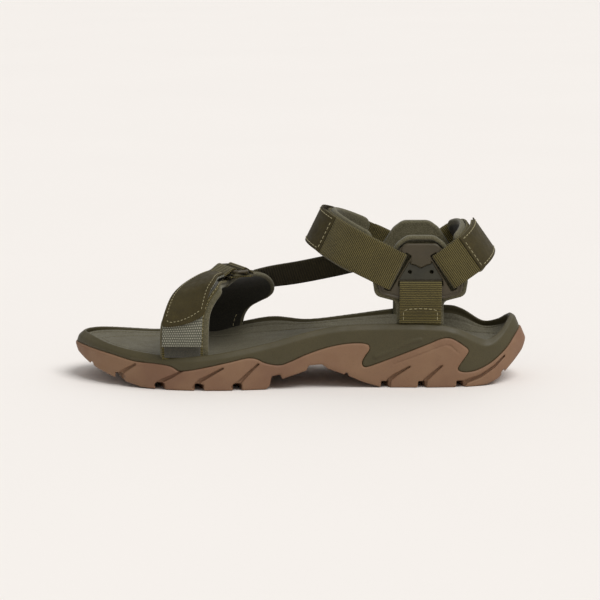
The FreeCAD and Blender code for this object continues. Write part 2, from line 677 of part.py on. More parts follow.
for made in doc.Objects:
    if "Invalid" in made.State or "Error" in made.State:
        raise RuntimeError(f"{made.Name} failed: {made.State}")
for made in PARTS:
    shape = made.Shape
    if shape.isNull() or not shape.isValid() or not shape.Solids:
        raise RuntimeError(f"{made.Label} has no valid solid")
    shape.exportStep(f"parts/{made.Label}.step")
    box = shape.BoundBox
    print(f"{made.Label:24s} {shape.Volume / 1000:8.2f} cm3  solids {len(shape.Solids)}"
          f"  x {box.XMin:7.1f} {box.XMax:7.1f}  y {box.YMin:6.1f} {box.YMax:6.1f}"
          f"  z {box.ZMin:6.1f} {box.ZMax:6.1f}")
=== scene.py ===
import math

import bmesh
import bpy
import numpy as np
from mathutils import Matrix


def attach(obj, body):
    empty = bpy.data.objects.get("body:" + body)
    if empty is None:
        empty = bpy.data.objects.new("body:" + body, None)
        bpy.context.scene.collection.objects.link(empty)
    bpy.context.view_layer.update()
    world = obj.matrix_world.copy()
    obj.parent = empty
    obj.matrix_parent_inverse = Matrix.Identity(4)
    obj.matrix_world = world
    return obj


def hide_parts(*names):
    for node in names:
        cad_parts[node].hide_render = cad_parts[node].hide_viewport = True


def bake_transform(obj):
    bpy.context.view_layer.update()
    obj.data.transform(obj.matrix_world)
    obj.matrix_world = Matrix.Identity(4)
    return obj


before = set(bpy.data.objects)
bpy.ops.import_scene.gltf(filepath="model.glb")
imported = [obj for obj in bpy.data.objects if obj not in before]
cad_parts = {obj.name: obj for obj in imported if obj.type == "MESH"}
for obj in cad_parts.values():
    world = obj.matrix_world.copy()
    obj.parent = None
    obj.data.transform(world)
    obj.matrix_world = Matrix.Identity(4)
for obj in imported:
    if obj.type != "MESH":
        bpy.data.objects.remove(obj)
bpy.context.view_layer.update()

import openvdb
from mathutils import Matrix, Vector

# Shapes are worked out in millimetres in the row's frame and turned into metres when a mesh is made:
# toe towards -X, heel towards +X, lateral side towards -Y, +Z up.
MM = 0.001
UP = np.array([0.0, 0.0, 1.0])


# ================================================================ geometry helpers
def smooth(points, per=8, closed=False):
    """Points on a Catmull-Rom curve through the given ones, any number of columns."""
    p = np.asarray(points, float)
    if closed:
        p = np.vstack([p[-1:], p, p[:2]])
    else:
        p = np.vstack([2 * p[0] - p[1], p, 2 * p[-1] - p[-2]])
    made = []
    for a, b, c, d in zip(p[:-3], p[1:-2], p[2:-1], p[3:]):
        for t in np.arange(per) / per:
            made.append(0.5 * (2 * b + (c - a) * t + (2 * a - 5 * b + 4 * c - d) * t**2
                               + (3 * b - a - 3 * c + d) * t**3))
    if not closed:
        made.append(p[-2])
    return np.array(made)


def unit(v):
    return v / np.maximum(np.linalg.norm(v, axis=-1, keepdims=True), 1e-12)


def step(low, high, value):
    t = np.clip((value - low) / (high - low), 0, 1)
    return t * t * (3 - 2 * t)


def smax(a, b, k):
    """The larger of two distances, rounded over a width k."""
    h = np.clip(0.5 - 0.5 * (b - a) / k, 0, 1)
    return b + (a - b) * h + k * h * (1 - h)


def smin(a, b, k):
    return -smax(-a, -b, k)


def segment_distance(u, v, a, b):
    """Distance of (u, v) from a segment, and the share of its length there."""
    du, dv = b[0] - a[0], b[1] - a[1]
    t = np.clip(((u - a[0]) * du + (v - a[1]) * dv) / (du * du + dv * dv), 0, 1)
    return np.hypot(u - a[0] - t * du, v - a[1] - t * dv), t


def polygon_distance(u, v, outline):
    """Signed distance of (u, v) from a closed outline, negative inside."""
    nearest = np.full(np.broadcast(u, v).shape, 1e9)
    inside = np.zeros(nearest.shape, bool)
    for a, b in zip(outline, np.roll(outline, -1, axis=0)):
        nearest = np.minimum(nearest, segment_distance(u, v, a, b)[0])
        crosses = (a[1] > v) != (b[1] > v)
        rise = b[1] - a[1] if abs(b[1] - a[1]) > 1e-9 else 1e-9
        inside ^= crosses & (u < a[0] + (v - a[1]) / rise * (b[0] - a[0]))
    return np.where(inside, -nearest, nearest)


def stroke_distance(u, v, line, width_start, width_end):
    """Signed distance from a stroke along a line whose width tapers from end to end."""
    line = np.asarray(line, float)
    lengths = np.concatenate([[0], np.cumsum(np.hypot(*np.diff(line, axis=0).T))])
    best = np.full(np.broadcast(u, v).shape, 1e9)
    for i, (a, b) in enumerate(zip(line, line[1:])):
        d, t = segment_distance(u, v, a, b)
        share = (lengths[i] + t * (lengths[i + 1] - lengths[i])) / lengths[-1]
        best = np.minimum(best, d - (width_start + (width_end - width_start) * share) / 2)
    return best


class Field:
    """A block of sample points for signed distances, in millimetres."""

    def __init__(self, low, high, voxel):
        self.low, self.voxel = np.array(low, float), voxel
        counts = np.ceil((np.array(high) - self.low) / voxel).astype(int) + 1
        x, y, z = (self.low[i] + voxel * np.arange(counts[i]) for i in range(3))
        self.x, self.y, self.z = x[:, None, None], y[None, :, None], z[None, None, :]
        self.side_x, self.side_z = np.broadcast_arrays(self.x[:, 0, :], self.z[:, 0, :])

    def mesh(self, name, distance):
        """The surface where distance is zero, as an object."""
        reach = 3 * self.voxel
        grid = openvdb.FloatGrid(background=reach)
        grid.copyFromArray(np.ascontiguousarray(np.clip(distance, -reach, reach), dtype=np.float32))
        points, triangles, quads = grid.convertToPolygons(isovalue=0.0, adaptivity=0.0)
        faces = quads[:, ::-1].tolist() + triangles[:, ::-1].tolist()
        return mesh_object(name, self.low + points * self.voxel, faces)


def mesh_object(name, points, faces, weave=None):
    """A smooth-shaded object from points in millimetres; weave gives (across, along, side) per point."""
    mesh = bpy.data.meshes.new(name)
    mesh.from_pydata((np.asarray(points) * MM).tolist(), [], faces)
    mesh.validate()
    mesh.polygons.foreach_set("use_smooth", [True] * len(mesh.polygons))
    if weave is not None:
        layer = mesh.attributes.new("weave", "FLOAT_VECTOR", "POINT")
        layer.data.foreach_set("vector", np.asarray(weave, float).ravel())
    mesh.update()
    made = bpy.data.objects.new(name, mesh)
    bpy.context.scene.collection.objects.link(made)
    return made


def finish_piece(piece, material, body, slot, *nodes):
    """Material, body and the CAD nodes that the piece stands for."""
    piece.data.materials.clear()
    piece.data.materials.append(material)
    if body is not None:
        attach(piece, body)
    if nodes:
        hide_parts(*nodes)


def tube_faces(rings, sides, base=0, closed=False):
    """Faces between rings of points, with a cap at each end unless the tube closes on itself."""
    faces = []
    for i in range(rings if closed else rings - 1):
        j = (i + 1) % rings
        for k in range(sides):
            m = (k + 1) % sides
            corners = (i * sides + k, i * sides + m, j * sides + m, j * sides + k)
            faces.append(tuple(base + corner for corner in corners))
    if not closed:
        faces.append(tuple(base + k for k in reversed(range(sides))))
        faces.append(tuple(base + (rings - 1) * sides + k for k in range(sides)))
    return faces


# ================================================================ materials
def colour(code):
    """Linear RGBA of a hex sRGB colour."""
    parts = [int(code[i:i + 2], 16) / 255 for i in (0, 2, 4)]
    return [c / 12.92 if c <= 0.04045 else ((c + 0.055) / 1.055) ** 2.4 for c in parts] + [1.0]


class Finish:
    """A Principled material built node by node; lengths are in millimetres."""

    def __init__(self, name, roughness, **sockets):
        self.material = bpy.data.materials.new(name)
        self.material.use_nodes = True
        self.tree = self.material.node_tree
        self.shader = self.tree.nodes["Principled BSDF"]
        self.shader.inputs["Roughness"].default_value = roughness
        for socket, value in sockets.items():
            self.shader.inputs[socket.replace("_", " ")].default_value = value
        where = self.node("TexCoord").outputs["Object"]
        self.place = self.node("VectorMath", {0: where, "Scale": 1 / MM}, operation="SCALE").outputs[0]
        self.normal = None

    def node(self, kind, sources=(), **settings):
        made = self.tree.nodes.new("ShaderNode" + kind)
        for key, value in settings.items():
            setattr(made, key, value)
        for socket, value in dict(sources).items():
            if isinstance(value, bpy.types.NodeSocket):
                self.tree.links.new(value, made.inputs[socket])
            else:
                made.inputs[socket].default_value = value
        return made

    def noise(self, size, detail=2.0):
        """Noise whose lumps are about size millimetres."""
        sources = {"Vector": self.place, "Scale": 1 / size, "Detail": detail}
        return self.node("TexNoise", sources).outputs["Fac"]

    def cells(self, size, smoothness=0.6):
        sources = {"Vector": self.place, "Scale": 1 / size, "Smoothness": smoothness}
        return self.node("TexVoronoi", sources, feature="SMOOTH_F1").outputs["Distance"]

    def math(self, operation, a, b=0.0):
        return self.node("Math", {0: a, 1: b}, operation=operation).outputs[0]

    def ramp(self, value, low, high, to_low=0.0, to_high=1.0):
        sources = {"Value": value, 1: low, 2: high, 3: to_low, 4: to_high}
        return self.node("MapRange", sources, clamp=True).outputs[0]

    def mix(self, share, a, b):
        """A colour between two; each is a hex code or a socket."""
        sides = [side if isinstance(side, bpy.types.NodeSocket) else colour(side) for side in (a, b)]
        sources = {0: share, 6: sides[0], 7: sides[1]}
        return self.node("Mix", sources, data_type="RGBA").outputs[2]

    def patches(self, size, a, b, low=0.35, high=0.65, detail=3):
        """Two tones in soft patches of about size millimetres."""
        return self.mix(self.ramp(self.noise(size, detail), low, high), a, b)

    def bump(self, height, depth, strength=1.0):
        """Relief of so many millimetres on top of any relief already there."""
        sources = {"Height": height, "Distance": depth * MM, "Strength": strength}
        if self.normal is not None:
            sources["Normal"] = self.normal
        self.normal = self.node("Bump", sources).outputs[0]
        self.tree.links.new(self.normal, self.shader.inputs["Normal"])

    def paint(self, socket):
        self.tree.links.new(socket, self.shader.inputs["Base Color"])

    def roughen(self, size, low, high, detail=3):
        """Roughness that wanders between two values."""
        value = self.ramp(self.noise(size, detail), 0.3, 0.7, low, high)
        self.tree.links.new(value, self.shader.inputs["Roughness"])

    def weave(self):
        """A ribbon's own coordinates: millimetres across and along, and 1 to -1 from front to back."""
        stored = self.node("Attribute", attribute_name="weave").outputs["Vector"]
        return self.node("SeparateXYZ", {0: stored}).outputs


MADE = {}


def once(build):
    """Each material is made the first time that a piece asks for it."""
    def made():
        if build.__name__ not in MADE:
            MADE[build.__name__] = build().material
        return MADE[build.__name__]
    return made


@once
def gum_rubber():
    m = Finish("gum_rubber", 0.62, Specular_IOR_Level=0.35)
    speck = m.math("MULTIPLY", m.ramp(m.noise(0.7, 1), 0.62, 0.72), 0.25)
    m.paint(m.mix(speck, m.patches(28, "7d5d47", "896a50"), "644838"))
    m.roughen(6, 0.55, 0.72)
    m.bump(m.noise(0.45, 3), 0.05, 0.5)
    m.bump(m.noise(9, 2), 0.25, 0.3)
    return m


@once
def midsole_foam():
    m = Finish("midsole_foam", 0.55, Specular_IOR_Level=0.4)
    m.paint(m.patches(0.6, m.patches(22, "453e25", "4b4329"), "403922", 0.45, 0.75, 2))
    m.roughen(5, 0.46, 0.6)
    m.bump(m.noise(0.5, 2), 0.04, 0.5)
    m.bump(m.noise(12, 2), 0.3, 0.25)
    return m


@once
def footbed_foam():
    m = Finish("footbed_foam", 0.72, Specular_IOR_Level=0.3)
    grain = m.cells(1.1, 0.3)
    m.paint(m.mix(m.ramp(grain, 0.25, 0.6), m.patches(18, "615c4a", "6a6552"), "585343"))
    m.roughen(8, 0.62, 0.8)
    m.bump(grain, 0.1, 0.6)
    m.bump(m.noise(0.35, 2), 0.05, 0.5)
    return m


@once
def nylon():
    m = Finish("nylon", 0.5)
    m.paint(m.patches(7, "1d1c19", "282620"))
    m.bump(m.noise(0.6, 2), 0.05, 0.5)
    return m


@once
def insert_foam():
    m = Finish("insert_foam", 0.7)
    pores = m.cells(1.4)
    m.paint(m.mix(m.ramp(pores, 0.2, 0.6), "6a6450", "504a39"))
    m.bump(pores, 0.15, 0.6)
    return m


def woven(name, dark, light, pitch, column, depth, broken=0.45):
    """Webbing: ribs across the strap, broken by its warp threads to the share given."""
    m = Finish(name, 0.8, Specular_IOR_Level=0.3, Sheen_Weight=0.12, Sheen_Roughness=0.5)
    across, along, _ = m.weave()
    wander = m.math("MULTIPLY", m.math("SUBTRACT", m.noise(2.5, 2), 0.5), 0.35)
    along = m.math("ADD", along, wander)
    rib = m.ramp(m.math("SINE", m.math("MULTIPLY", along, 2 * math.pi / pitch)), -1, 1)
    row = m.math("FLOOR", m.math("DIVIDE", along, pitch))
    odd = m.math("MULTIPLY", m.math("MODULO", row, 2.0), math.pi)
    phase = m.math("ADD", m.math("MULTIPLY", across, 2 * math.pi / column), odd)
    threads = m.math("MULTIPLY", m.ramp(m.math("SINE", phase), -1, 1), broken)
    raised = m.math("MULTIPLY", rib, m.math("ADD", threads, 1 - broken))
    fibre = m.noise(0.3, 3)
    # The tone follows the rib relief: raised threads are painted light as a painted highlight and the valleys
    # painted dark as painted shade, over the fibres' own mottle.
    shade = m.math("ADD", m.math("MULTIPLY", m.math("SUBTRACT", fibre, 0.5), 0.9), raised)
    tone = m.mix(m.ramp(shade, 0.1, 0.95), dark, light)
    worn = m.math("MULTIPLY", m.ramp(m.noise(11, 3), 0.35, 0.7), 0.22)
    m.paint(m.mix(worn, tone, dark))
    m.bump(raised, depth, 0.9)
    m.bump(fibre, 0.06, 0.5)
    return m


@once
def webbing():
    return woven("webbing", "29230f", "82753f", 1.12, 0.9, 0.36)


# A darker copy of the webbing: painted shade for the connecting strap's inner face on the shaded medial side,
# along with a darker tone of its own.
@once
def shaded_side_webbing():
    return woven("shaded_side_webbing", "1d180c", "4c4322", 1.12, 0.9, 0.3)


@once
def grey_webbing():
    return woven("grey_webbing", "525146", "afac97", 1.4, 1.4, 0.22, broken=0.95)


@once
def tab_overlay():
    m = Finish("tab_overlay", 0.7, Specular_IOR_Level=0.2)
    tone = m.patches(7, "393118", "463d1f", 0.3, 0.7, 4)
    m.paint(m.patches(0.5, tone, "322b17", 0.4, 0.7, 2))
    m.roughen(3, 0.55, 0.75)
    m.bump(m.cells(0.55), 0.06, 0.5)
    m.bump(m.noise(2.4, 3), 0.1, 0.4)
    return m


@once
def lining():
    """Knitted fabric over foam, with painted shade on a ribbon's back, the face turned in towards the foot."""
    m = Finish("lining", 0.8, Specular_IOR_Level=0.25, Sheen_Weight=0.15, Sheen_Roughness=0.6)
    knit = m.cells(0.75, 0.4)
    shade = m.ramp(knit, 0.25, 0.6)
    front = m.mix(shade, m.patches(9, "645e47", "716a52", 0.3, 0.7), "555039")
    # Painted shade: dark colours on the back of a ribbon stand in for the shadow on its inner face.
    back = m.mix(shade, "2b2719", "1c190f")
    # Back points take the painted shade; the front and the bound edges keep the fabric's own colour.
    m.paint(m.mix(m.ramp(m.weave()[2], -0.85, -0.98), front, back))
    m.bump(knit, 0.1, 0.6)
    m.bump(m.noise(5, 2), 0.25, 0.35)
    return m


@once
def loop_pile():
    m = Finish("loop_pile", 0.95, Specular_IOR_Level=0.1, Sheen_Weight=0.35, Sheen_Roughness=0.7)
    fuzz = m.noise(0.35, 4)
    m.paint(m.mix(m.ramp(fuzz, 0.35, 0.7), "1f1c12", "454029"))
    m.bump(fuzz, 0.5, 0.9)
    m.bump(m.noise(1.6, 2), 0.4, 0.6)
    return m


@once
def hook_tape():
    m = Finish("hook_tape", 0.55, Specular_IOR_Level=0.4)
    hooks = m.cells(0.9, 0.2)
    m.paint(m.mix(m.ramp(hooks, 0.2, 0.6), "3b3624", "211e13"))
    m.bump(m.ramp(hooks, 0.2, 0.55, 1.0, 0.0), 0.4, 0.9)
    return m


@once
def plate_plastic():
    m = Finish("plate_plastic", 0.46, Specular_IOR_Level=0.32)
    m.paint(m.patches(14, "433c2c", "4b4232", 0.3, 0.7))
    m.roughen(2.4, 0.36, 0.5, 4)
    m.bump(m.noise(0.22, 2), 0.03, 0.5)
    return m


@once
def panel_plastic():
    m = Finish("panel_plastic", 0.55, Specular_IOR_Level=0.4)
    m.paint(m.patches(9, "323025", "3a3729", 0.3, 0.7))
    m.roughen(2.4, 0.45, 0.62, 4)
    m.bump(m.noise(0.3, 2), 0.05, 0.6)
    return m


@once
def thread():
    m = Finish("thread", 0.7, Sheen_Weight=0.15)
    m.paint(m.patches(0.4, "8f8663", "a89e79", detail=2))
    m.bump(m.noise(0.2, 2), 0.05, 0.6)
    return m


# ================================================================ sole: outlines
# Plan of the rubber outsole, from the toe tip along the lateral side.
SOLE_OUTLINE = [
    (-145, 7), (-139.5, -9), (-126, -26), (-105, -41), (-79, -50.3), (-50, -52.5), (-20, -48.5),
    (15, -43.5), (50, -41.7), (80, -42), (105, -39.5), (126, -30.5), (140, -15),
    (145, 0), (140, 15), (126, 30.5), (105, 39.3), (80, 41.7), (50, 38.2), (22, 36),
    (-2, 39), (-26, 46.5), (-50, 52), (-76, 52.3), (-101, 48), (-122, 39.5), (-138, 24),
]
# Height of the foam's rim along X on either side.
RIM_LATERAL = [
    (-150, 30), (-134, 28.6), (-117, 25), (-94, 22.4), (-70, 21.5), (-50, 23.6), (-20, 29.4),
    (7, 36.2), (32, 39.8), (80, 40.2), (98, 37.6), (110, 32), (118, 29.2), (126, 32.6), (133, 39),
    (137, 42.4), (150, 43),
]
RIM_MEDIAL = [
    (-150, 30), (-134, 28.2), (-117, 25), (-94, 22.4), (-70, 22.4), (-45, 26), (-18, 32),
    (5, 31.2), (32, 34.4), (62, 38), (94, 40.2), (106, 38.2), (119, 31.4), (128, 34), (133, 39),
    (137, 42.4), (150, 43),
]
# Top of the footbed along its middle.
BED = [
    (-150, 27), (-134, 23.4), (-110, 20.2), (-80, 18.6), (-55, 18.8), (-25, 22.4), (5, 26.4),
    (35, 28.6), (75, 27.2), (105, 24.4), (122, 25), (132, 28.5), (150, 38),
]
# Upper edge of the rubber on the side wall, with its two hooked crests.
SPLIT_LINE = [
    (-155, 21.8), (-138, 21.6), (-121, 19.8), (-104, 16.8), (-90, 16.3), (-81, 15), (-76.3, 12.5),
    (-72, 12.3), (-62, 14.1), (-44, 18), (-35, 20), (-31, 20.3), (-27, 19.5), (-21.5, 16.8), (-13, 15.3),
    (-6, 17.3), (4, 21.6), (16, 25.5), (26, 27.6), (34, 28.3), (40, 28.1), (43.2, 26.8), (43.4, 24),
    (40.6, 20), (38.9, 16), (40, 13.4), (43, 13.4), (51, 16.2), (66, 21.9), (80, 27.5), (88.5, 30.9),
    (93, 31.4), (97, 30.2), (102.5, 26.6), (105.7, 23.8), (105.6, 21.6), (101.6, 16), (99.3, 12),
    (101, 10), (105.6, 9.4), (112, 10.5), (120.8, 14.6), (129.6, 21.4), (136.4, 28.6), (142.3, 33.4),
    (155, 39),
]
# Underside along X, toe to heel, with the steps round the arch.
UNDERSIDE = [
    (-155, 42), (-149, 29), (-145.6, 22), (-142.6, 16.4), (-137.3, 12.9), (-131.5, 9.9), (-121.4, 6.3),
    (-115, 4.2), (-106, 2.2), (-100, 0.6), (-90, 0), (-22, 0), (-19.2, 1.8), (-17.6, 8.4),
    (-12.6, 9.4), (-11.2, 6.4), (4, 11.4), (5.6, 14.6), (13.6, 15.2), (17.6, 12.3), (32, 6.9),
    (39.2, 3.7), (51, 0), (109, 0), (118, 0.6), (125.5, 3.6), (136.2, 13.2), (142.1, 19), (146, 26), (155, 40),
]
WALL_STEP = 0.9              # how far the rubber stands proud of the foam
RUBBER_WALL = 3.3            # thickness of the rubber up the side
RUBBER_BASE = 5.5            # and under the foot
RIM_WIDTH = 5.2              # of the foam round the footbed
BED_GROOVES = (5.0, 12.5)    # how far inside the footbed's edge its two grooves run
# Tread grooves: X at the wall; each runs inwards and towards the toe.
TREAD = [-109.8, -87, -63, -39, 55.6, 78.7, 103.2]
TREAD_WIDTH = 5.6
TREAD_DEPTH = 4.2
TREAD_SWEEP = 15.0
END_SIPES = [-131.6, 31.0, 129.6]
# Slits that rise from the tread grooves up the side wall, each narrowing to its end.
WALL_SLITS = [
    [(-114.6, 4.6), (-112.9, 8.4), (-108.3, 11.9), (-103.3, 15.1)],
    [(-90, 2.6), (-86.4, 5.8), (-79.8, 9), (-73.4, 12.6)],
    [(-65.8, 2.4), (-62.5, 6.4), (-55.7, 10.2), (-48, 14.5)],
    [(-41.6, 2.4), (-37.2, 5.8), (-31.8, 11.3), (-26, 16.6)],
    [(55.6, 1.6), (56, 5), (60.4, 8.4), (69, 13.6)],
    [(78.4, 1.6), (78.8, 5), (82.6, 8.4), (89.2, 14)],
    [(103, 1.6), (104.6, 3.6), (113.6, 6.4), (122.4, 11.6), (129.4, 17.8)],
]
# A fine groove along the rear crest, and a ridge in the foam ahead of it.
CREST_LINE = [(58.8, 15.2), (69.4, 19), (83.8, 24.6), (91, 27.2), (94.6, 26.6), (99.8, 21.9)]
FOAM_RIDGE = [(47.5, 19.6), (55.9, 22.9), (64.5, 27), (70.3, 29.5), (75.6, 30.6)]


def height(points, x):
    line = smooth(points)
    return np.interp(x, line[:, 0], line[:, 1])


def sole_shapes(field):
    """Distances shared by the three layers of the sole."""
    x, y, z = field.x, field.y, field.z
    plan = polygon_distance(x[:, :, 0], y[:, :, 0], smooth(SOLE_OUTLINE, closed=True))[:, :, None]
    below_split = np.vstack([smooth(SPLIT_LINE, 6), [(155, -20), (-155, -20)]])
    split = polygon_distance(field.side_x, field.side_z, below_split)
    under = polygon_distance(field.side_x, field.side_z, np.array(UNDERSIDE + [(155, 90), (-155, 90)]))
    share = step(-38, 38, y)
    rim = height(RIM_LATERAL, x) * (1 - share) + height(RIM_MEDIAL, x) * share
    lean = step(100, 138, x) * np.maximum(0, z - 25) * 0.36
    lean = lean + step(-116, -142, x) * np.maximum(0, z - 21) * 0.28
    lean = lean + 0.06 * np.maximum(0, z - 22) + 0.05 * np.maximum(0, 9 - z)
    return plan, lean, split[:, None, :], under[:, None, :], rim


def tread_cut(field, under):
    """Signed distance of the tread's grooves and sipes, negative inside them."""
    x, y = field.x, field.y
    spread = np.clip(np.abs(y) / 50, 0, 1)
    sweep = TREAD_SWEEP * (1 - spread) ** 1.2
    cut = np.full(np.broadcast(x, y).shape, 1e9)
    for place in TREAD:
        width = TREAD_WIDTH * (0.62 + 0.38 * spread)
        cut = np.minimum(cut, np.abs(x - (place - sweep)) - width / 2)
    waist = step(-22, -14, x) * step(54, 46, x)
    spine = np.minimum(np.abs(np.abs(y) - 14) - 1.4, np.abs(np.abs(y) - 31) - 0.8)
    cut = smin(cut, spine + 20 * waist + 20 * step(-112, -124, x) + 20 * step(108, 122, x), 0.8)
    grooves = smax(cut, -under - TREAD_DEPTH, 0.8)

    sipes = np.full(np.broadcast(x, y).shape, 1e9)
    for low, high in zip(TREAD, TREAD[1:]):
        if high - low < 30:
            sipe = (low + high) / 2 - sweep + 1.5 * np.sin(y * 0.9)
            sipes = np.minimum(sipes, np.abs(x - sipe) - 0.55)
    sipes = smax(sipes + 6 * (1 - step(42, 38, np.abs(y))), -under - 1.6, 0.4)
    for place in END_SIPES:
        sipe = np.abs(x - place + 2 * spread) - 0.9
        sipes = np.minimum(sipes, smax(sipe, -under - 1.7, 0.5))
    return np.minimum(grooves, sipes)


def build_sole():
    voxel = 0.62
    field = Field((-149, -56, -1.5), (149, 56, 47), voxel)
    x, z = field.x, field.z
    plan, lean, split, under, rim = sole_shapes(field)
    wall = plan + lean

    # rubber: between the underside and the split line, a wall round a foam core
    core = smax(wall + RUBBER_WALL, under + RUBBER_BASE, 1.5)
    rubber = smax(smax(wall, under, 1.6), split, 1.0)
    rubber = smax(rubber, -core, 0.6)
    blank = rubber
    rubber = smax(rubber, -tread_cut(field, under), 0.7)
    for slit in WALL_SLITS:
        cut = stroke_distance(field.side_x, field.side_z, slit, 2.8, 1.1)[:, None, :]
        rubber = smax(rubber, -smax(cut, -wall - 2.2, 0.4), 0.4)
    crest = stroke_distance(field.side_x, field.side_z, CREST_LINE, 0.9, 0.7)[:, None, :]
    rubber = smax(rubber, -smax(crest, -wall - 0.55, 0.3), 0.35)
    outsole = field.mesh("outsole_rubber", rubber)

    # foam: fills the rubber, stands above it, and is hollowed for the footbed
    bed = height(BED, x)
    edge = rim - (1.2 + 1.0 * step(40, 100, x))
    climb = np.clip(1 + (plan + RIM_WIDTH) / 17, 0, 1) ** 2.1
    bed = bed + (edge - bed) * climb
    hollow = smax(wall + WALL_STEP + RIM_WIDTH - 1.0, bed - 1.6 - z, 0.8)
    bevel = 2.305 * ((wall + WALL_STEP) / 3 + (z - rim) / 3.6 + 1)
    foam = smax(smax(wall + WALL_STEP, z - rim, 1.0), bevel, 0.7)
    foam = smax(foam, under + 0.4, 1.0)
    ridge = stroke_distance(field.side_x, field.side_z, FOAM_RIDGE, 1.6, 1.2)[:, None, :]
    foam = smin(foam, smax(ridge, wall + WALL_STEP - 0.75, 1.0), 1.6)
    foam = smax(foam, -hollow, 1.6)
    foam = smax(foam, -(blank - 0.03), 0.05)
    midsole = field.mesh("midsole_foam", foam)

    # footbed: drops into the hollow with a fine joint line round it
    soft = smax(wall + WALL_STEP + RIM_WIDTH, z - bed - 0.5, 2.0)
    soft = smax(soft, bed - 3.6 - z, 0.8)
    for inset in BED_GROOVES:
        line = np.abs(plan + RIM_WIDTH + inset) - 0.5
        soft = smax(soft, -smax(line, bed - 0.2 - z, 0.3), 0.4)
    footbed = field.mesh("footbed_top", soft)

    finish_piece(outsole, gum_rubber(), "sole", "gum_rubber", "outsole")
    finish_piece(midsole, midsole_foam(), "sole", "midsole_foam", "midsole")
    finish_piece(footbed, footbed_foam(), "sole", "footbed_foam", "footbed")


# ================================================================ straps
def resample(line, pitch):
    """Points spaced evenly along a polyline, all columns carried along; also the distances."""
    steps = np.linalg.norm(np.diff(line[:, :3], axis=0), axis=1)
    along = np.concatenate([[0], np.cumsum(steps)])
    places = np.linspace(0, along[-1], max(3, int(along[-1] / pitch) + 1))
    return np.column_stack([np.interp(places, along, column) for column in line.T]), places


BINDING = 1.2                # how far a pad's edging keeps the lining's own colour over its inner face; the painted shade starts beyond it
BOUND = -0.8                 # the side value that the lining's material paints in its front colour, without painted shade


def section(low, high, edge, count):
    """The flat's limits and points round a band's section: across, and 1 to -1 from front to back."""
    middle = (low + high) / 2
    a, b = min(low + edge, middle), max(high - edge, middle)
    turn = np.linspace(0, math.pi / 2, 4)[1:]
    steps = np.linspace(0, 1, count + 1)
    ring = [(a + (b - a) * k, 1.0) for k in steps]
    ring += [(b + edge * math.sin(t), math.cos(t)) for t in turn]
    ring += [(b + edge * math.cos(t), -math.sin(t)) for t in turn[:-1]]
    ring += [(b - (b - a) * k, -1.0) for k in steps]
    ring += [(a - edge * math.sin(t), -math.cos(t)) for t in turn]
    ring += [(a - edge * math.cos(t), math.sin(t)) for t in turn[:-1]]
    return a, b, *np.array(ring).T


class Ribbon:
    """A strap: points along its reference face, the direction across it and the side it faces."""

    PITCH = 0.9

    def __init__(self, points, across, outward=None, flip=False):
        line = np.column_stack([points, np.broadcast_to(across, np.shape(points))])
        line, self.places = resample(line, self.PITCH)
        self.points, self.across = line[:, :3], unit(line[:, 3:6])
        along = np.gradient(self.points, axis=0)
        self.normals = unit(np.cross(along, self.across))
        self.along = unit(along)
        if outward is not None and np.mean(np.sum(self.normals * (self.points - outward), axis=1)) < 0:
            flip = True
        if flip:
            self.normals = -self.normals
        self.length = self.places[-1]

    def at(self, s, c, h):
        """Points at distance s along, c across and h out from the reference face."""
        s, c, h = np.broadcast_arrays(s, c, h)
        mix = [np.stack([np.interp(s, self.places, column) for column in v.T], -1)
               for v in (self.points, self.across, self.normals)]
        return mix[0] + mix[1] * c[..., None] + mix[2] * h[..., None]

    def facing(self, s):
        return unit(np.stack([np.interp(s, self.places, column) for column in self.normals.T], -1))

    def solid(self, name, inner, outer, rows, edge=0.45, swell=0.0, across=10, ends=(True, True),
              backwards=False):
        """A closed band between two heights; rows are (s, low, high) extents across it."""
        rows = np.asarray(rows, float)
        start, stop = rows[0, 0], rows[-1, 0]
        near = np.array([0, 0.15, 0.45, 0.9, 1.5])
        inside = np.arange(start, stop, self.PITCH)
        s = np.unique(np.round(np.concatenate([inside, start + near, stop - near]), 3))
        s = s[(s >= start) & (s <= stop)]
        low, high = (np.interp(s, rows[:, 0], rows[:, side]) for side in (1, 2))
        middle, half = (inner + outer) / 2, (outer - inner) / 2
        edge = min(edge, half)
        taper = np.ones(len(s))
        for is_round, gap in zip(ends, (s - start, stop - s)):
            if is_round:
                fall = 1 - np.clip(gap / half, 0, 1)
                taper = np.minimum(taper, np.sqrt(np.clip(1 - fall ** 2, 0.02, 1)))
        points, weave = [], []
        for i, place in enumerate(s):
            a, b, c, lift = section(low[i], high[i], edge, across)
            share = (c - (a + b) / 2) / max((b - a) / 2 + edge, 0.1)
            crown = swell * np.clip(1 - share ** 2, 0, 1) ** 0.6
            height = middle + lift * (half * taper[i] + crown * taper[i])
            points.append(self.at(np.full(len(c), place), c, height))
            # Back points within BINDING of an edge carry BOUND, so the lining's painted shade covers only the
            # rest of the back.
            bound = (lift < -0.99) & (np.minimum(c - a, b - c) < BINDING)
            along = np.full(len(c), -place if backwards else place)
            weave.append(np.column_stack([c, along, np.where(bound, BOUND, lift)]))
        made = mesh_object(name, np.vstack(points), tube_faces(len(s), len(c)), np.vstack(weave))
        outwards(made)
        crisp_ends(made, ends)
        return made


def crisp_ends(thing, ends):
    """Keeps the shading of a band's straight cuts, its last two faces, apart from the faces round them."""
    mesh = thing.data
    cut = set()
    for face, is_round in zip(list(mesh.polygons)[-2:], ends):
        if not is_round:
            face.use_smooth = False
            cut.update(face.edge_keys)
    for edge in mesh.edges:
        if edge.key in cut:
            edge.use_edge_sharp = True


def outwards(thing):
    """Turns a closed mesh's faces to point out of it."""
    cells = bmesh.new()
    cells.from_mesh(thing.data)
    bmesh.ops.recalc_face_normals(cells, faces=cells.faces)
    cells.to_mesh(thing.data)
    cells.free()
    thing.data.update()


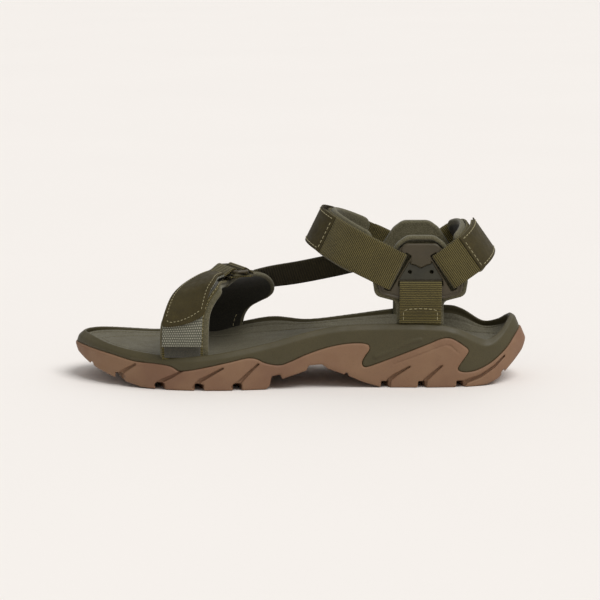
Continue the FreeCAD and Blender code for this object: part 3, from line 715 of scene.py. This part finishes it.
def straight(start, stop, low, high=None):
    """Extents of a band of even width."""
    low, high = (-low / 2, low / 2) if high is None else (low, high)
    return [(start, low, high), (stop, low, high)]


def rounded_end(start, stop, low, high, radius, at_start=False):
    """Extents of a band of even width whose corners are rounded at its stop, or at both ends."""
    def corner(place, way, t):
        narrow = radius * (1 - math.sin(t))
        return place + way * radius * (1 - math.cos(t)), low + narrow, high - narrow

    quarter = [math.radians(a) for a in range(0, 91, 15)]
    rows = [corner(start, 1, t) for t in quarter] if at_start else [(start, low, high)]
    return rows + [corner(stop, -1, t) for t in reversed(quarter)]


THREAD, FINE_THREAD = 0.5, 0.42      # diameters of the sewing threads
STITCH = 2.1
STITCH_GAP = 1.0
# Share of a stitch's length from its middle, and its height in thread widths: its ends dive in.
STITCH_ARCH = [(-0.5, -0.6), (-0.42, 0.15), (-0.2, 0.42), (0.2, 0.42), (0.42, 0.15), (0.5, -0.6)]
STITCH_SIDES = 6


def stitches(name, runs, thread, length, gap):
    """Rows of thread as one object; each run is a list of (point, normal) along a seam."""
    points, faces = [], []
    for run in runs:
        line, places = resample(np.array([np.concatenate(pair) for pair in run]), 0.3)
        place = gap / 2
        while place + length <= places[-1]:
            faces += tube_faces(len(STITCH_ARCH), STITCH_SIDES, len(points))
            points += one_stitch(line, places, place + length / 2, length, thread)
            place += length + gap
    made = mesh_object(name, points, faces)
    outwards(made)
    return made


def one_stitch(line, places, middle, length, thread):
    def at(s):
        return np.array([np.interp(s, places, column) for column in line.T])

    points = []
    for share, lift in STITCH_ARCH:
        s = middle + share * length
        here = at(s)
        along, normal = unit(at(s + 0.2)[:3] - at(s - 0.2)[:3]), unit(here[3:6])
        side = unit(np.cross(along, normal))
        radius = thread / 2 * (0.55 if abs(share) > 0.45 else 1.0)
        for angle in 2 * math.pi * np.arange(STITCH_SIDES) / STITCH_SIDES:
            turned = side * math.cos(angle) + normal * math.sin(angle)
            points.append(here[:3] + normal * lift * thread + turned * radius)
    return points


def seam(ribbon, path, height, out=1):
    """A run of (point, normal) on a ribbon through (s, c) corners; out is -1 on its back."""
    path = np.array(path, float)
    line, _ = resample(np.column_stack([path, np.zeros(len(path))]), 1.0)
    return [(ribbon.at(s, c, height * out), ribbon.facing(s) * out) for s, c, _ in line]


def sew(name, body, runs, slot="webbing", thread_width=THREAD, length=STITCH, gap=STITCH_GAP):
    finish_piece(stitches(name, runs, thread_width, length, gap), thread(), body, slot)


# ================================================================ ankle plates, pads and anchors
PLATE_CENTRE = 75.5
PLATE_HALF = [(9.8, 91.4, 4), (13.8, 87.2, 5), (27, 66, 5), (25.4, 59.2, 4), (15, 56.4, 3)]
PAD_HALF = [
    (8.6, 96, 8), (14.8, 91.4, 9), (30.2, 68, 6), (28.4, 57.4, 5), (14.9, 53.8, 3), (14.9, 26.3, 1),
]
SIDE_SLOT = [(6.2, 83.6), (19.4, 61.4), (22.5, 63.2), (9.3, 85.4)]
FOOT_SLOT = [(-13.6, 64.8), (13.6, 64.8), (13.6, 67.6), (-13.6, 67.6)]
HALF_WEB = 0.8               # half the thickness of all webbing
PAD_INNER, PAD_OUTER = 31.5, 35.0
PLATE_INNER, PLATE_OUTER = 36.8, 39.8
# The raised head of the plate: two shoulders, a neck and a foot with three points.
TONGUE = [
    (9.6, 91.2, 4), (13.4, 87.2, 3), (11.6, 85.4, 1), (6.4, 83.4, 2), (5.6, 81.4, 2), (6.4, 79.0, 0.6),
    (3.0, 78.0, 1), (0, 76.4, 0.6),
]
DIMPLES = [(-6.8, 73.4), (6.8, 73.4)]
DIMPLE_RADIUS = 1.2
PANEL_DEPTH = 1.1


def rounded(corners, per=5):
    """Points of a closed polygon of (x, z, radius) corners."""
    made = []
    for i, (x, z, radius) in enumerate(corners):
        p = np.array([x, z], float)
        back = unit(np.array(corners[i - 1][:2], float) - p)
        ahead = unit(np.array(corners[(i + 1) % len(corners)][:2], float) - p)
        half = math.acos(np.clip(back @ ahead, -1, 1)) / 2
        centre = p + unit(back + ahead) * radius / math.sin(half)
        start, end = p + back * radius / math.tan(half), p + ahead * radius / math.tan(half)
        for t in np.linspace(0, 1, per):
            made.append(centre + unit(start + (end - start) * t - centre) * radius)
    return np.array(made)


def mirrored(half):
    right = [(PLATE_CENTRE + x, z, r) for x, z, r in half]
    return right + [(2 * PLATE_CENTRE - x, z, r) for x, z, r in reversed(right) if x != PLATE_CENTRE]


def side_view(field, outline):
    """Signed distance of a field's points from an outline seen from the side."""
    return polygon_distance(field.side_x, field.side_z, outline)


def panel_distance(field, tongue):
    """The sunk panel between the side slots and the foot slot, below the tongue."""
    x, z = field.side_x, field.side_z
    beside = np.abs(x - PLATE_CENTRE) - 5.6 - (82.5 - z) * 0.6
    panel = smax(smax(beside, z - 80.5, 1.0), 68.2 - z, 0.6)
    return smax(panel, 0.35 - tongue, 0.3)


def dimpled(field, solid, rounding):
    for u, v in DIMPLES:
        hole = DIMPLE_RADIUS - np.hypot(field.x - PLATE_CENTRE - u, field.z - v)
        solid = smax(solid, hole, rounding)
    return solid


def ankle_plate(name, side):
    """The moulded plate: slots, a lip round its edge, a raised tongue and a sunk panel."""
    field = Field((46, 35.5, 53), (105, 42, 93), 0.36)
    y, flat_z = field.y, field.side_z
    edge = side_view(field, rounded(mirrored(PLATE_HALF)))
    tongue = side_view(field, rounded(mirrored(TONGUE)))
    panel = panel_distance(field, tongue)
    wings = step(80, 76, flat_z) * step(-1.2, -1.6, edge) * step(-2.7, -2.3, edge)
    dish = 0.5 * np.exp(-((flat_z - 83.2) / 3.0) ** 2) * step(1, -2, tongue)
    raised, sunk = 0.7 * step(0.3, -0.5, tongue), PANEL_DEPTH * step(0.25, -0.25, panel)
    face = PLATE_OUTER - 0.5 * wings - dish + raised - sunk
    solid = smax(edge[:, None, :], y - face[:, None, :], 0.9)
    solid = smax(solid, PLATE_INNER - y, 0.8)
    holes = side_view(field, np.array([(PLATE_CENTRE + u, v) for u, v in FOOT_SLOT]))
    for k in (1, -1):
        slot = np.array([(PLATE_CENTRE + k * u, v) for u, v in SIDE_SLOT])
        holes = np.minimum(holes, side_view(field, slot))
    solid = smax(solid, 0.3 - holes[:, None, :], 0.7)
    made = mirror_to(field.mesh(name + "_plate_moulding", dimpled(field, solid, 0.2)), side)
    finish_piece(made, plate_plastic(), "sole", "plate_plastic", name + "_ankle_plate")

    floor = PLATE_OUTER - PANEL_DEPTH
    inlay = smax(panel[:, None, :] + 0.15, y - floor - 0.45, 0.4)
    inlay = smax(inlay, floor - 0.2 - y, 0.2)
    made = mirror_to(field.mesh(name + "_plate_panel", dimpled(field, inlay, 0.3)), side)
    finish_piece(made, panel_plastic(), "sole", "plate_plastic")


def mirror_to(thing, side):
    """Moves a shape made on the medial side to the side asked for."""
    if side < 0:
        thing.data.transform(Matrix.Scale(-1, 4, (0, 1, 0)))
        thing.data.flip_normals()
    return thing


def ankle_pad(name, side):
    """Foam laminated between fabric, die cut, with a rolled lip standing round the plate's head."""
    field = Field((43, 29.5, 24.5), (108, 39.5, 98), 0.42)
    y, flat_z = field.y, field.side_z
    edge = side_view(field, rounded(mirrored(PAD_HALF)))
    inner = PAD_INNER - 0.8 * step(-2, -12, edge) * step(40, 48, flat_z)
    lip = step(-3.4, -2.4, edge) * step(50, 54, flat_z)
    outer = PAD_OUTER - 0.5 + 2.0 * lip * step(66, 80, flat_z) + 0.8 * lip
    solid = smax(edge[:, None, :], y - outer[:, None, :], 1.8)
    solid = smax(solid, inner[:, None, :] - y, 2.2)
    made = mirror_to(field.mesh(name + "_pad_foam", solid), side)
    finish_piece(made, lining(), "sole", "lining", name + "_ankle_pad")


ANCHOR_WIDTH = 26.5
# Half-width and height of the anchor's webbing up behind the foot bar, out of its slot and down again.
ANCHOR_ROUTE = [
    (35.9, 26.3), (35.9, 60), (35.95, 64.4), (36.6, 66.0), (38.3, 66.9), (40.1, 66.4), (40.75, 64.6),
    (40.75, 60), (40.7, 54.5), (39.8, 50.5), (38.2, 47), (37.6, 44.4), (37.6, 40.6),
]


def anchor(name, side):
    """Webbing that ties the plate to the sole, with its end sewn down over the front."""
    curve = smooth(ANCHOR_ROUTE, 10)
    points = np.column_stack([np.full(len(curve), PLATE_CENTRE), side * curve[:, 0], curve[:, 1]])
    band = Ribbon(points, (1, 0, 0))
    end = band.length
    made = band.solid(name + "_anchor_band", -HALF_WEB, HALF_WEB, straight(0, end, ANCHOR_WIDTH))
    finish_piece(made, webbing(), "sole", "webbing", name + "_anchor_webbing")
    top, low, half = end - 10.2, end - 1.5, ANCHOR_WIDTH / 2 - 2.6
    bow = [(1.2, -half), (0.1, -half * 0.75), (-0.4, 0), (0.1, half * 0.75), (1.2, half)]
    runs = [[(top + s, c) for s, c in bow], [(top + 2, -half), (low, -half)], [(top + 2, half), (low, half)]]
    out = math.copysign(1, band.facing(end - 6)[1] * side)
    sew(name + "_anchor_stitching", "sole", [seam(band, run, HALF_WEB, out) for run in runs])


# ================================================================ ankle straps
INSTEP = {
    "slot": (61.15, 73.4), "ahead": (-0.899, 0.438),
    "plan": [(-1, 35.4), (16, 35.4), (25, 34), (35.6, 29.4), (44.2, 21.6), (50.2, 11.5), (52.2, 0)],
    "medial_end": (19.5, 37.9),
}
HEEL = {
    "slot": (89.85, 73.4), "ahead": (0.819, 0.574),
    "plan": [(-1, 35.5), (15, 35.5), (18.5, 34), (22, 29.5), (25, 21.5), (26.8, 11.5), (27.4, 0)],
    "medial_end": (17.5, 37.6),
}
WEB = 25.0                   # width of the webbing
TAB_HALF = 12.3
LOOP_END = 15.0              # distance ahead of the slot where a strap's root hands over to its tail


class Ankle:
    """One adjustable strap: its plan, seen down the strap's own axis, placed in space."""

    def __init__(self, data):
        ax, az = data["ahead"]
        self.ahead = unit(np.array([ax, 0, az]))
        self.axis = np.cross(self.ahead, (0, 1, 0))
        self.axis = self.axis * np.sign(self.axis[2])
        self.origin = np.array([data["slot"][0], 0, data["slot"][1]])
        half = data["plan"]
        points = [(a, -b) for a, b in half] + [(a, b) for a, b in reversed(half[:-1])]
        self.plan = smooth(points, 14)
        along = np.gradient(self.plan, axis=0)
        self.out = unit(np.column_stack([along[:, 1], -along[:, 0]]))

    def place(self, flat):
        flat = np.asarray(flat, float)
        return self.origin + flat[:, :1] * self.ahead + flat[:, 1:2] * np.array([0, 1, 0])

    def run(self, start, start_side, stop, stop_side, offset):
        """The plan between two distances ahead of the slots, moved out by offset."""
        apex = len(self.plan) // 2
        index = []
        for distance, side in ((start, start_side), (stop, stop_side)):
            leg = range(0, apex + 1) if side < 0 else range(len(self.plan) - 1, apex - 1, -1)
            index.append(np.interp(distance, [self.plan[i, 0] for i in leg], list(leg)))
        picks = np.linspace(index[0], index[1], 160)
        order = np.arange(len(self.plan))
        middle = np.column_stack([np.interp(picks, order, column) for column in self.plan.T])
        out = np.column_stack([np.interp(picks, order, column) for column in self.out.T])
        return middle + unit(out) * offset

    def ribbon(self, flat, **kind):
        return Ribbon(self.place(flat), self.axis, **kind)

    def point(self, ahead):
        return tuple(float(v) * MM for v in self.origin + self.ahead * ahead)


# Webbing's centre line from over a side bar, back through the slot and behind it: (ahead, out) pairs.
SLOT_TURN = [
    (9.5, 40.75), (4, 40.75), (1.2, 40.3), (0.1, 38.9), (0.0, 37.6), (0.9, 36.4), (3.6, 35.9), (9, 35.9),
]
# How far out from the strap's plan each layer's middle lies.
LINER_OUT, WEB_OUT, PILE_OUT, HOOKS_OUT, TAIL_OUT, TAB_OUT = -2.1, 0.8, 2.2, 3.45, 4.7, 5.95


def ankle_strap(name, data, tail_turn, tail_end, tab_start, tab_end, pad_start, pad_width):
    """A strap through both plates' slots, its tail and hook tape, the pull tab and the padded liner."""
    strap = Ankle(data)
    root = ("sole", name + "_strap", strap.point(2), strap.point(13))
    tail = (name + "_strap", name + "_tail", strap.point(13.6), strap.point(21.6))

    # one length of webbing: over the lateral bar, through both slots, round the foot
    flat = strap.run(LOOP_END, -1, tail_end, -1, TAIL_OUT)
    lateral = smooth([tuple(flat[0]), *[(a, -b) for a, b in SLOT_TURN]], 8)
    round_foot = strap.run(LOOP_END, -1, LOOP_END, 1, WEB_OUT)
    medial = smooth(SLOT_TURN[::-1], 8)
    medial_end = smooth([tuple(medial[-1]), (15.5, 40.2), data["medial_end"]], 6)
    web = strap.ribbon(np.vstack([lateral, round_foot, medial, medial_end[1:]]))
    made = web.solid(name + "_strap_webbing", -HALF_WEB, HALF_WEB, straight(0, web.length, WEB),
                     ends=(False, True), backwards=True)
    nodes = [name + "_webbing", name + "_lateral_loop", name + "_medial_loop"]
    finish_piece(made, webbing(), None, "webbing", *nodes)
    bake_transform(made)

    # tail webbing with its hook tape, and the pile it presses on
    layer = strap.ribbon(flat)
    made = layer.solid(name + "_tail_band", -HALF_WEB, HALF_WEB, straight(0, layer.length, WEB),
                       ends=(False, True))
    finish_piece(made, webbing(), None, "webbing", name + "_tail_webbing")
    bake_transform(made)
    for part, material, slot, start, out, half, width, bend in (
        ("loop_patch", loop_pile, "loop_pile", LOOP_END + 1.5, PILE_OUT, 0.5, WEB - 1.6, root),
        ("hook_patch", hook_tape, "hook_tape", LOOP_END + 5, HOOKS_OUT, 0.42, WEB - 2.4, tail),
    ):
        layer = strap.ribbon(strap.run(start, -1, tail_turn, -1, out))
        made = layer.solid(f"{name}_{part}_layer", -half, half, straight(0, layer.length, width), edge=0.2)
        finish_piece(made, material(), None, slot, f"{name}_{part}")
        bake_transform(made)

    # pull tab sewn over the end of the tail
    tab = strap.ribbon(strap.run(tab_start, -1, tab_end, 1, TAB_OUT))
    half = 0.45
    made = tab.solid(name + "_tab", -half, half, rounded_end(0, tab.length, -TAB_HALF, TAB_HALF, 3))
    finish_piece(made, tab_overlay(), name + "_tail", "tab_overlay", name + "_pull_tab")
    inset, last = TAB_HALF - 1.9, tab.length - 2
    path = [(last, -inset), (1.7, -inset), (1.7, inset), (last, inset)]
    out = math.copysign(1, -tab.facing(1.0)[1])
    rows = [seam(tab, leg, half, out) for leg in zip(path, path[1:])]
    sew(name + "_tab_stitching", name + "_tail", rows, slot="tab_overlay")

    # padded liner inside the strap
    liner = strap.ribbon(strap.run(pad_start, -1, pad_start, 1, LINER_OUT))
    reach = pad_width / 2 + 0.4
    rows = rounded_end(0, liner.length, -reach, reach, 6, at_start=True)
    made = liner.solid(name + "_liner", -1.5, 1.5, rows, edge=1.5, swell=0.5)
    finish_piece(made, lining(), name + "_strap", "lining", name + "_pad")


# ================================================================ forefoot straps
# Stations of the outer face of the padded liner: point, direction across the strap.
LATERAL_ARCH = [
    ((-73.5, -45.5, 17.2), (1, 0, 0)), ((-73.5, -45.7, 24), (1, 0, 0)),
    ((-73.5, -45.8, 33.5), (1, 0, 0)), ((-72.5, -43.9, 45), (1, 0, 0.12)),
    ((-68.2, -40.2, 53.2), (0.97, -0.12, 0.2)), ((-62.6, -33.4, 58.8), (0.86, -0.45, 0.2)),
    ((-56.6, -21.5, 62.2), (0.52, -0.84, 0.12)), ((-52.4, -10, 62.4), (0.42, -0.9, 0.08)),
]
UNDER_RING = ((-46.5, 3.0, 62.2), (0.5, -0.86, 0.05))     # where the padding goes on under the ring
FOOT_AXIS = np.array([-45.0, 0, 25])
# Edges of the medial quarter's liner, from the top of the foot down to the seam.
QUARTER_HEEL = [
    (-46.6, -9, 61.2), (-42, 4, 63.2), (-37.5, 12, 64.6), (-29.5, 21.5, 64), (-22.5, 30.5, 61),
    (-18.4, 36.6, 55.8), (-17.8, 40.2, 49.8), (-20.6, 42.2, 45.6), (-26, 43.4, 42.4),
    (-32.3, 44.4, 38.4), (-36.4, 45, 33), (-38.2, 45.4, 27), (-38.4, 45.4, 20.5),
]
QUARTER_TOE = [
    (-57.5, -8, 60.4), (-54, 2, 62.2), (-55.2, 10, 61.8), (-56.6, 19, 60.4), (-58, 27.5, 56.6),
    (-59.6, 34, 52), (-61, 38.6, 47), (-62.2, 41.2, 43), (-63.4, 43, 39), (-64.6, 44.4, 34.4),
    (-65.6, 45, 29.5), (-66, 45.3, 25), (-66, 45.3, 20.5),
]
RING_AT = np.array([-43.2, -5.6, 70.4])
RING_TURN = math.radians(-65.0)
RING_LONG, RING_SHORT, RING_BAR = 34.0, 11.0, 3.0
RING_SIDES = 12
BAR_RADII = (1.2, 1.0)       # of the oval bar, in the ring's plane and across it
WRAP_RADII = (1.85, 1.7)     # of the webbing's middle round the bar
HALF_WRAP = 0.45
RING_ALONG = np.array([math.cos(RING_TURN), math.sin(RING_TURN), 0])
RING_SIDE = np.array([-math.sin(RING_TURN), math.cos(RING_TURN), 0])       # towards the heel


def station_ribbon(stations, inside):
    """A ribbon through (point, direction across) stations that faces away from a point inside."""
    line = smooth(np.array([[*p, *unit(np.array(w, float))] for p, w in stations]), 12)
    return Ribbon(line[:, :3], line[:, 3:6], outward=inside)


def forefoot():
    arch = station_ribbon(LATERAL_ARCH, FOOT_AXIS)
    whole = station_ribbon([*LATERAL_ARCH, UNDER_RING], FOOT_AXIS)
    top = arch.length
    # the padded liner, its edges rolled
    rows = [(0, -14.2, 16.4), (34, -14.2, 16.4), (46, -14.2, 15.4), (58, -14, 13.8), (68, -14, 12.6)]
    rows += [(top, -14, 11.4), (top + 5, -13, 8.8), (whole.length, -11, 4)]
    made = whole.solid("forefoot_padding", -2.7, 0.0, rows, edge=1.35, swell=0.3, across=16)
    finish_piece(made, lining(), "sole", "lining", "forefoot_liner")

    made = whole.solid("forefoot_base_band", 0.15, 1.7, straight(0, top + 2, -13, 13))
    finish_piece(made, webbing(), "sole", "webbing", "forefoot_base_strap")
    made = arch.solid("forefoot_pile", 1.75, 2.8, straight(3.5, top - 12, -11.2, 11.2), edge=0.3)
    finish_piece(made, loop_pile(), "sole", "loop_pile", "forefoot_loop_patch")
    made = arch.solid("forefoot_hooks", 3.1, 3.9, straight(23, 52, -11, 11), edge=0.2)
    finish_piece(made, hook_tape(), "forefoot_flap", "hook_tape", "forefoot_hook_patch")
    rows = [(10.8, -12.6, 11.9), (17, -12.6, 12.2), (top, -12.4, 12.4)]
    made = arch.solid("forefoot_flap_band", 4.2, 5.6, rows)
    finish_piece(made, grey_webbing(), "forefoot_flap", "grey_webbing", "forefoot_flap_webbing")
    cover = [
        (22.9, -8.6, -7.0), (23.1, -10.4, -3.6), (23.6, -11.8, 0.2), (24.3, -12.7, 3.6), (25.2, -13.0, 7.0),
        (26.3, -13.1, 10.2), (27.3, -13.1, 12.4), (28.3, -13.1, 13.1), (60, -13, 13.1),
        (top - 3, -12.9, 12.9), (top - 0.8, -12.2, 12.2), (top, -10.8, 10.8),
    ]
    made = arch.solid("forefoot_overlay", 5.7, 6.9, cover, edge=0.6, across=14)
    finish_piece(made, tab_overlay(), "forefoot_flap", "tab_overlay", "forefoot_flap_overlay")

    runs = [
        [(30.6, 10.8), (60, 10.8), (top - 2.4, 10.6)],
        [(30.2, 9.8), (28.0, 5.4), (26.7, 1.0), (25.8, -3.4), (25.6, -7.2), (26.4, -9.8), (29, -10.8)],
        [(29, -10.8), (60, -10.7), (top - 2.4, -10.6)],
    ]
    sew("overlay_stitching", "forefoot_flap", [seam(arch, run, 6.9) for run in runs],
        slot="tab_overlay", thread_width=FINE_THREAD, length=1.4, gap=0.9)
    runs = [[(9.2, 12.3), (top - 4, 12.3)], [(9.2, -12.3), (40, -12.3)], [(9.6, 11.9), (9.6, 12.4)]]
    sew("base_strap_stitching", "sole", [seam(arch, run, 1.7) for run in runs],
        thread_width=FINE_THREAD, length=1.6, gap=1.1)


def ring_frame():
    """The rectangular ring: an oval bar swept round a rounded rectangle."""
    a, b, r = (RING_LONG - RING_BAR) / 2, (RING_SHORT - RING_BAR) / 2, 2.0
    line = rounded([(-a, -b, r), (a, -b, r), (a, b, r), (-a, b, r)], 6)
    points = []
    for behind, here, ahead in zip(np.roll(line, 1, axis=0), line, np.roll(line, -1, axis=0)):
        along = unit(ahead - behind)
        side = np.array([along[1], -along[0]])
        for angle in 2 * math.pi * np.arange(RING_SIDES) / RING_SIDES:
            flat = here + side * math.cos(angle) * BAR_RADII[0]
            lift = math.sin(angle) * BAR_RADII[1]
            points.append(RING_AT + RING_ALONG * flat[0] + RING_SIDE * flat[1] + UP * lift)
    made = mesh_object("ring_frame", points, tube_faces(len(line), RING_SIDES, closed=True))
    outwards(made)
    finish_piece(made, plate_plastic(), "sole", "plate_plastic", "forefoot_ring")


# The keeper's way on from the ring, down over the medial quarter.
KEEPER_ROUTE = [(-35.5, 2.5, 67.4), (-33.5, 9, 66.2), (-33.6, 16, 65.6), (-34.4, 21, 64.8)]


def ring_wraps():
    """The flap's end round the ring's front bar, the keeper's round its rear bar, and a backing."""
    bar = (RING_SHORT - RING_BAR) / 2
    turn = np.radians([-150, -110, -70, -35, 0, 35, 70, 100])
    wrap = [(bar - WRAP_RADII[0] * math.cos(t), WRAP_RADII[1] * math.sin(t)) for t in turn]
    front = [(-side, lift) for side, lift in wrap]
    front += [(-bar - 2.6, 0.2), (-bar - 5.0, -1.6), (-bar - 8.0, -3.0)]
    rear = wrap + [(bar + 2.8, 0.0), (bar + 5.6, -2.0)]
    under = [(-bar - 3, -3.6), (0, -3.3), (bar + 4, -3.6)]
    for name, line, route, width, body, nodes in (
        ("flap_ring_wrap", front, [], 24.6, "forefoot_flap", ()),
        ("keeper_wrap", rear, KEEPER_ROUTE, 24.6, "sole", ("forefoot_ring_keeper",)),
        ("ring_backing", under, [], 28, "sole", ()),
    ):
        line = smooth(line, 6)
        points = RING_AT + line[:, :1] * RING_SIDE + line[:, 1:2] * UP
        if route:
            points = np.vstack([points, smooth([tuple(points[-1]), *route], 6)[1:]])
        band = Ribbon(points, RING_ALONG)
        made = band.solid(name, -HALF_WRAP, HALF_WRAP, straight(0, band.length, width))
        finish_piece(made, webbing(), body, "webbing", *nodes)


def quarter():
    """The medial side: a padded liner with rolled edges and the overlay sewn on its outside."""
    heel, toe = smooth(QUARTER_HEEL, 8), smooth(QUARTER_TOE, 8)
    middle, across = (heel + toe) / 2, heel - toe
    half = np.linalg.norm(across, axis=1) / 2
    ribbon = Ribbon(middle, unit(across), outward=FOOT_AXIS)
    places = np.concatenate([[0], np.cumsum(np.linalg.norm(np.diff(middle, axis=0), axis=1))])
    rows = [(s, -h - 0.8, h + 0.8) for s, h in zip(places, half)]
    made = ribbon.solid("quarter_padding", -2.6, 0.0, rows, edge=1.3, swell=0.4, across=22)
    finish_piece(made, lining(), "sole", "lining", "medial_quarter_liner")
    rows = [(s, -h + 2.0, h - 2.0) for s, h in zip(places, half)]
    made = ribbon.solid("quarter_overlay", 0.15, 1.5, rows, edge=0.6, across=18)
    finish_piece(made, tab_overlay(), "sole", "tab_overlay", "medial_quarter")
    end = places[-1]
    rows = [(s, h - 4.2) for s, h in zip(places, half) if 3 < s < end - 5]
    runs = [rows, [(s, -c) for s, c in rows]]
    sew("quarter_stitching", "sole", [seam(ribbon, run, 1.5) for run in runs], slot="tab_overlay")
    inner = [(s, h - 5.6) for s, h in zip(places, half) if end - 12 < s < end - 3]
    sew("quarter_lining_stitching", "sole", [seam(ribbon, inner, 3.0, -1)], slot="tab_overlay")


CONNECTING = [
    ((-31, 37, 56), (0.1, -0.62, 0.78)), ((-19, 41.2, 57.4), (0.16, -0.42, 0.9)),
    ((0, 43.4, 60), (0.18, -0.28, 0.94)), ((24, 43.6, 65), (0.2, -0.16, 0.96)),
    ((42, 42.6, 69.6), (0.22, -0.04, 0.97)), ((56, 42.4, 73), (0.22, 0, 0.97)),
]


def connecting_strap():
    """Narrow webbing from the quarter to the medial plate, sewn at both ends."""
    band = station_ribbon(CONNECTING, np.array([10.0, 0, 60]))
    last = band.length
    made = band.solid("side_band", 0.0, 1.5, straight(0, last, 17.2))
    # The darker webbing copy is painted shade for the strap's inner face on the medial side.
    finish_piece(made, shaded_side_webbing(), "sole", "webbing", "connecting_strap")
    a, b, c = 2.5, 11, 6.8
    runs = [[(a, -c), (a, c)], [(a, c), (b, c)], [(a, -c), (b, -c)], [(b, -c), (b, c)]]
    runs += [[(s, -5.4), (s, 5.4)] for s in (last - 2.5, last - 10)]
    sew("side_band_stitching", "sole", [seam(band, run, 1.5) for run in runs])


# ================================================================ stage
def build_floor():
    """A wide pale sheet of paper."""
    half = 9.0 / MM
    points = [(-half, -half, 0), (half, -half, 0), (half, half, 0), (-half, half, 0)]
    floor = mesh_object("floor", points, [(0, 1, 2, 3)])
    m = Finish("paper", 0.9, Specular_IOR_Level=0.1)
    m.paint(m.patches(300, "f2ede8", "f1ece7", 0.3, 0.7, 2))
    floor.data.materials.append(m.material)


def sun(name, direction, strength, spread):
    """A broad soft light from far away; direction is where it comes from."""
    lamp = bpy.data.lights.new(name, "SUN")
    lamp.energy, lamp.angle = strength, math.radians(spread)
    made = bpy.data.objects.new(name, lamp)
    aim(made, Vector(direction), (0, 0, 0))
    bpy.context.scene.collection.objects.link(made)


def aim(thing, place, target):
    thing.location = place
    thing.rotation_euler = (Vector(target) - Vector(place)).to_track_quat("-Z", "Y").to_euler()


def build_lights():
    sun("key", (0.45, -0.36, 1.0), 2.0, 40)
    sun("back", (0.3, 0.8, 0.8), 0.35, 60)
    world = bpy.data.worlds.new("studio")
    world.use_nodes = True
    background = world.node_tree.nodes["Background"]
    background.inputs["Color"].default_value = (1, 1, 1, 1)
    background.inputs["Strength"].default_value = 0.42
    bpy.context.scene.world = world
    bpy.context.scene.view_settings.view_transform = "Standard"


CAMERA_AWAY = 1.7            # metres from the middle of the sandal
CAMERA_RISE = 9.6            # degrees above the horizon
CAMERA_LENS = 159.06


def build_camera():
    middle = Vector((0, 0, 0.049))
    rise = math.radians(CAMERA_RISE)
    away = Vector((0, -math.cos(rise), math.sin(rise))) * CAMERA_AWAY
    camera = bpy.data.cameras.new("camera")
    camera.lens, camera.sensor_width = CAMERA_LENS, 36
    made = bpy.data.objects.new("camera", camera)
    aim(made, middle + away, middle)
    bpy.context.scene.collection.objects.link(made)
    bpy.context.scene.camera = made


def hidden_parts():
    """The stiffener and the heel insert keep their CAD shapes inside the foam."""
    for name, material in (("shank", nylon()), ("heel_insert", insert_foam())):
        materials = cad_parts[name].data.materials
        materials.clear()
        materials.append(material)


def build():
    build_sole()
    hidden_parts()
    for name, side in (("lateral", -1), ("medial", 1)):
        ankle_plate(name, side)
        ankle_pad(name, side)
        anchor(name, side)
    ankle_strap("instep", INSTEP, tail_turn=48.5, tail_end=51, tab_start=44.4, tab_end=43,
                pad_start=23, pad_width=28)
    ankle_strap("heel", HEEL, tail_turn=23.5, tail_end=27.2, tab_start=17.4, tab_end=27.39,
                pad_start=17, pad_width=29)
    forefoot()
    ring_frame()
    ring_wraps()
    quarter()
    connecting_strap()
    build_floor()
    build_lights()
    build_camera()
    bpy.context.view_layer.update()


build()
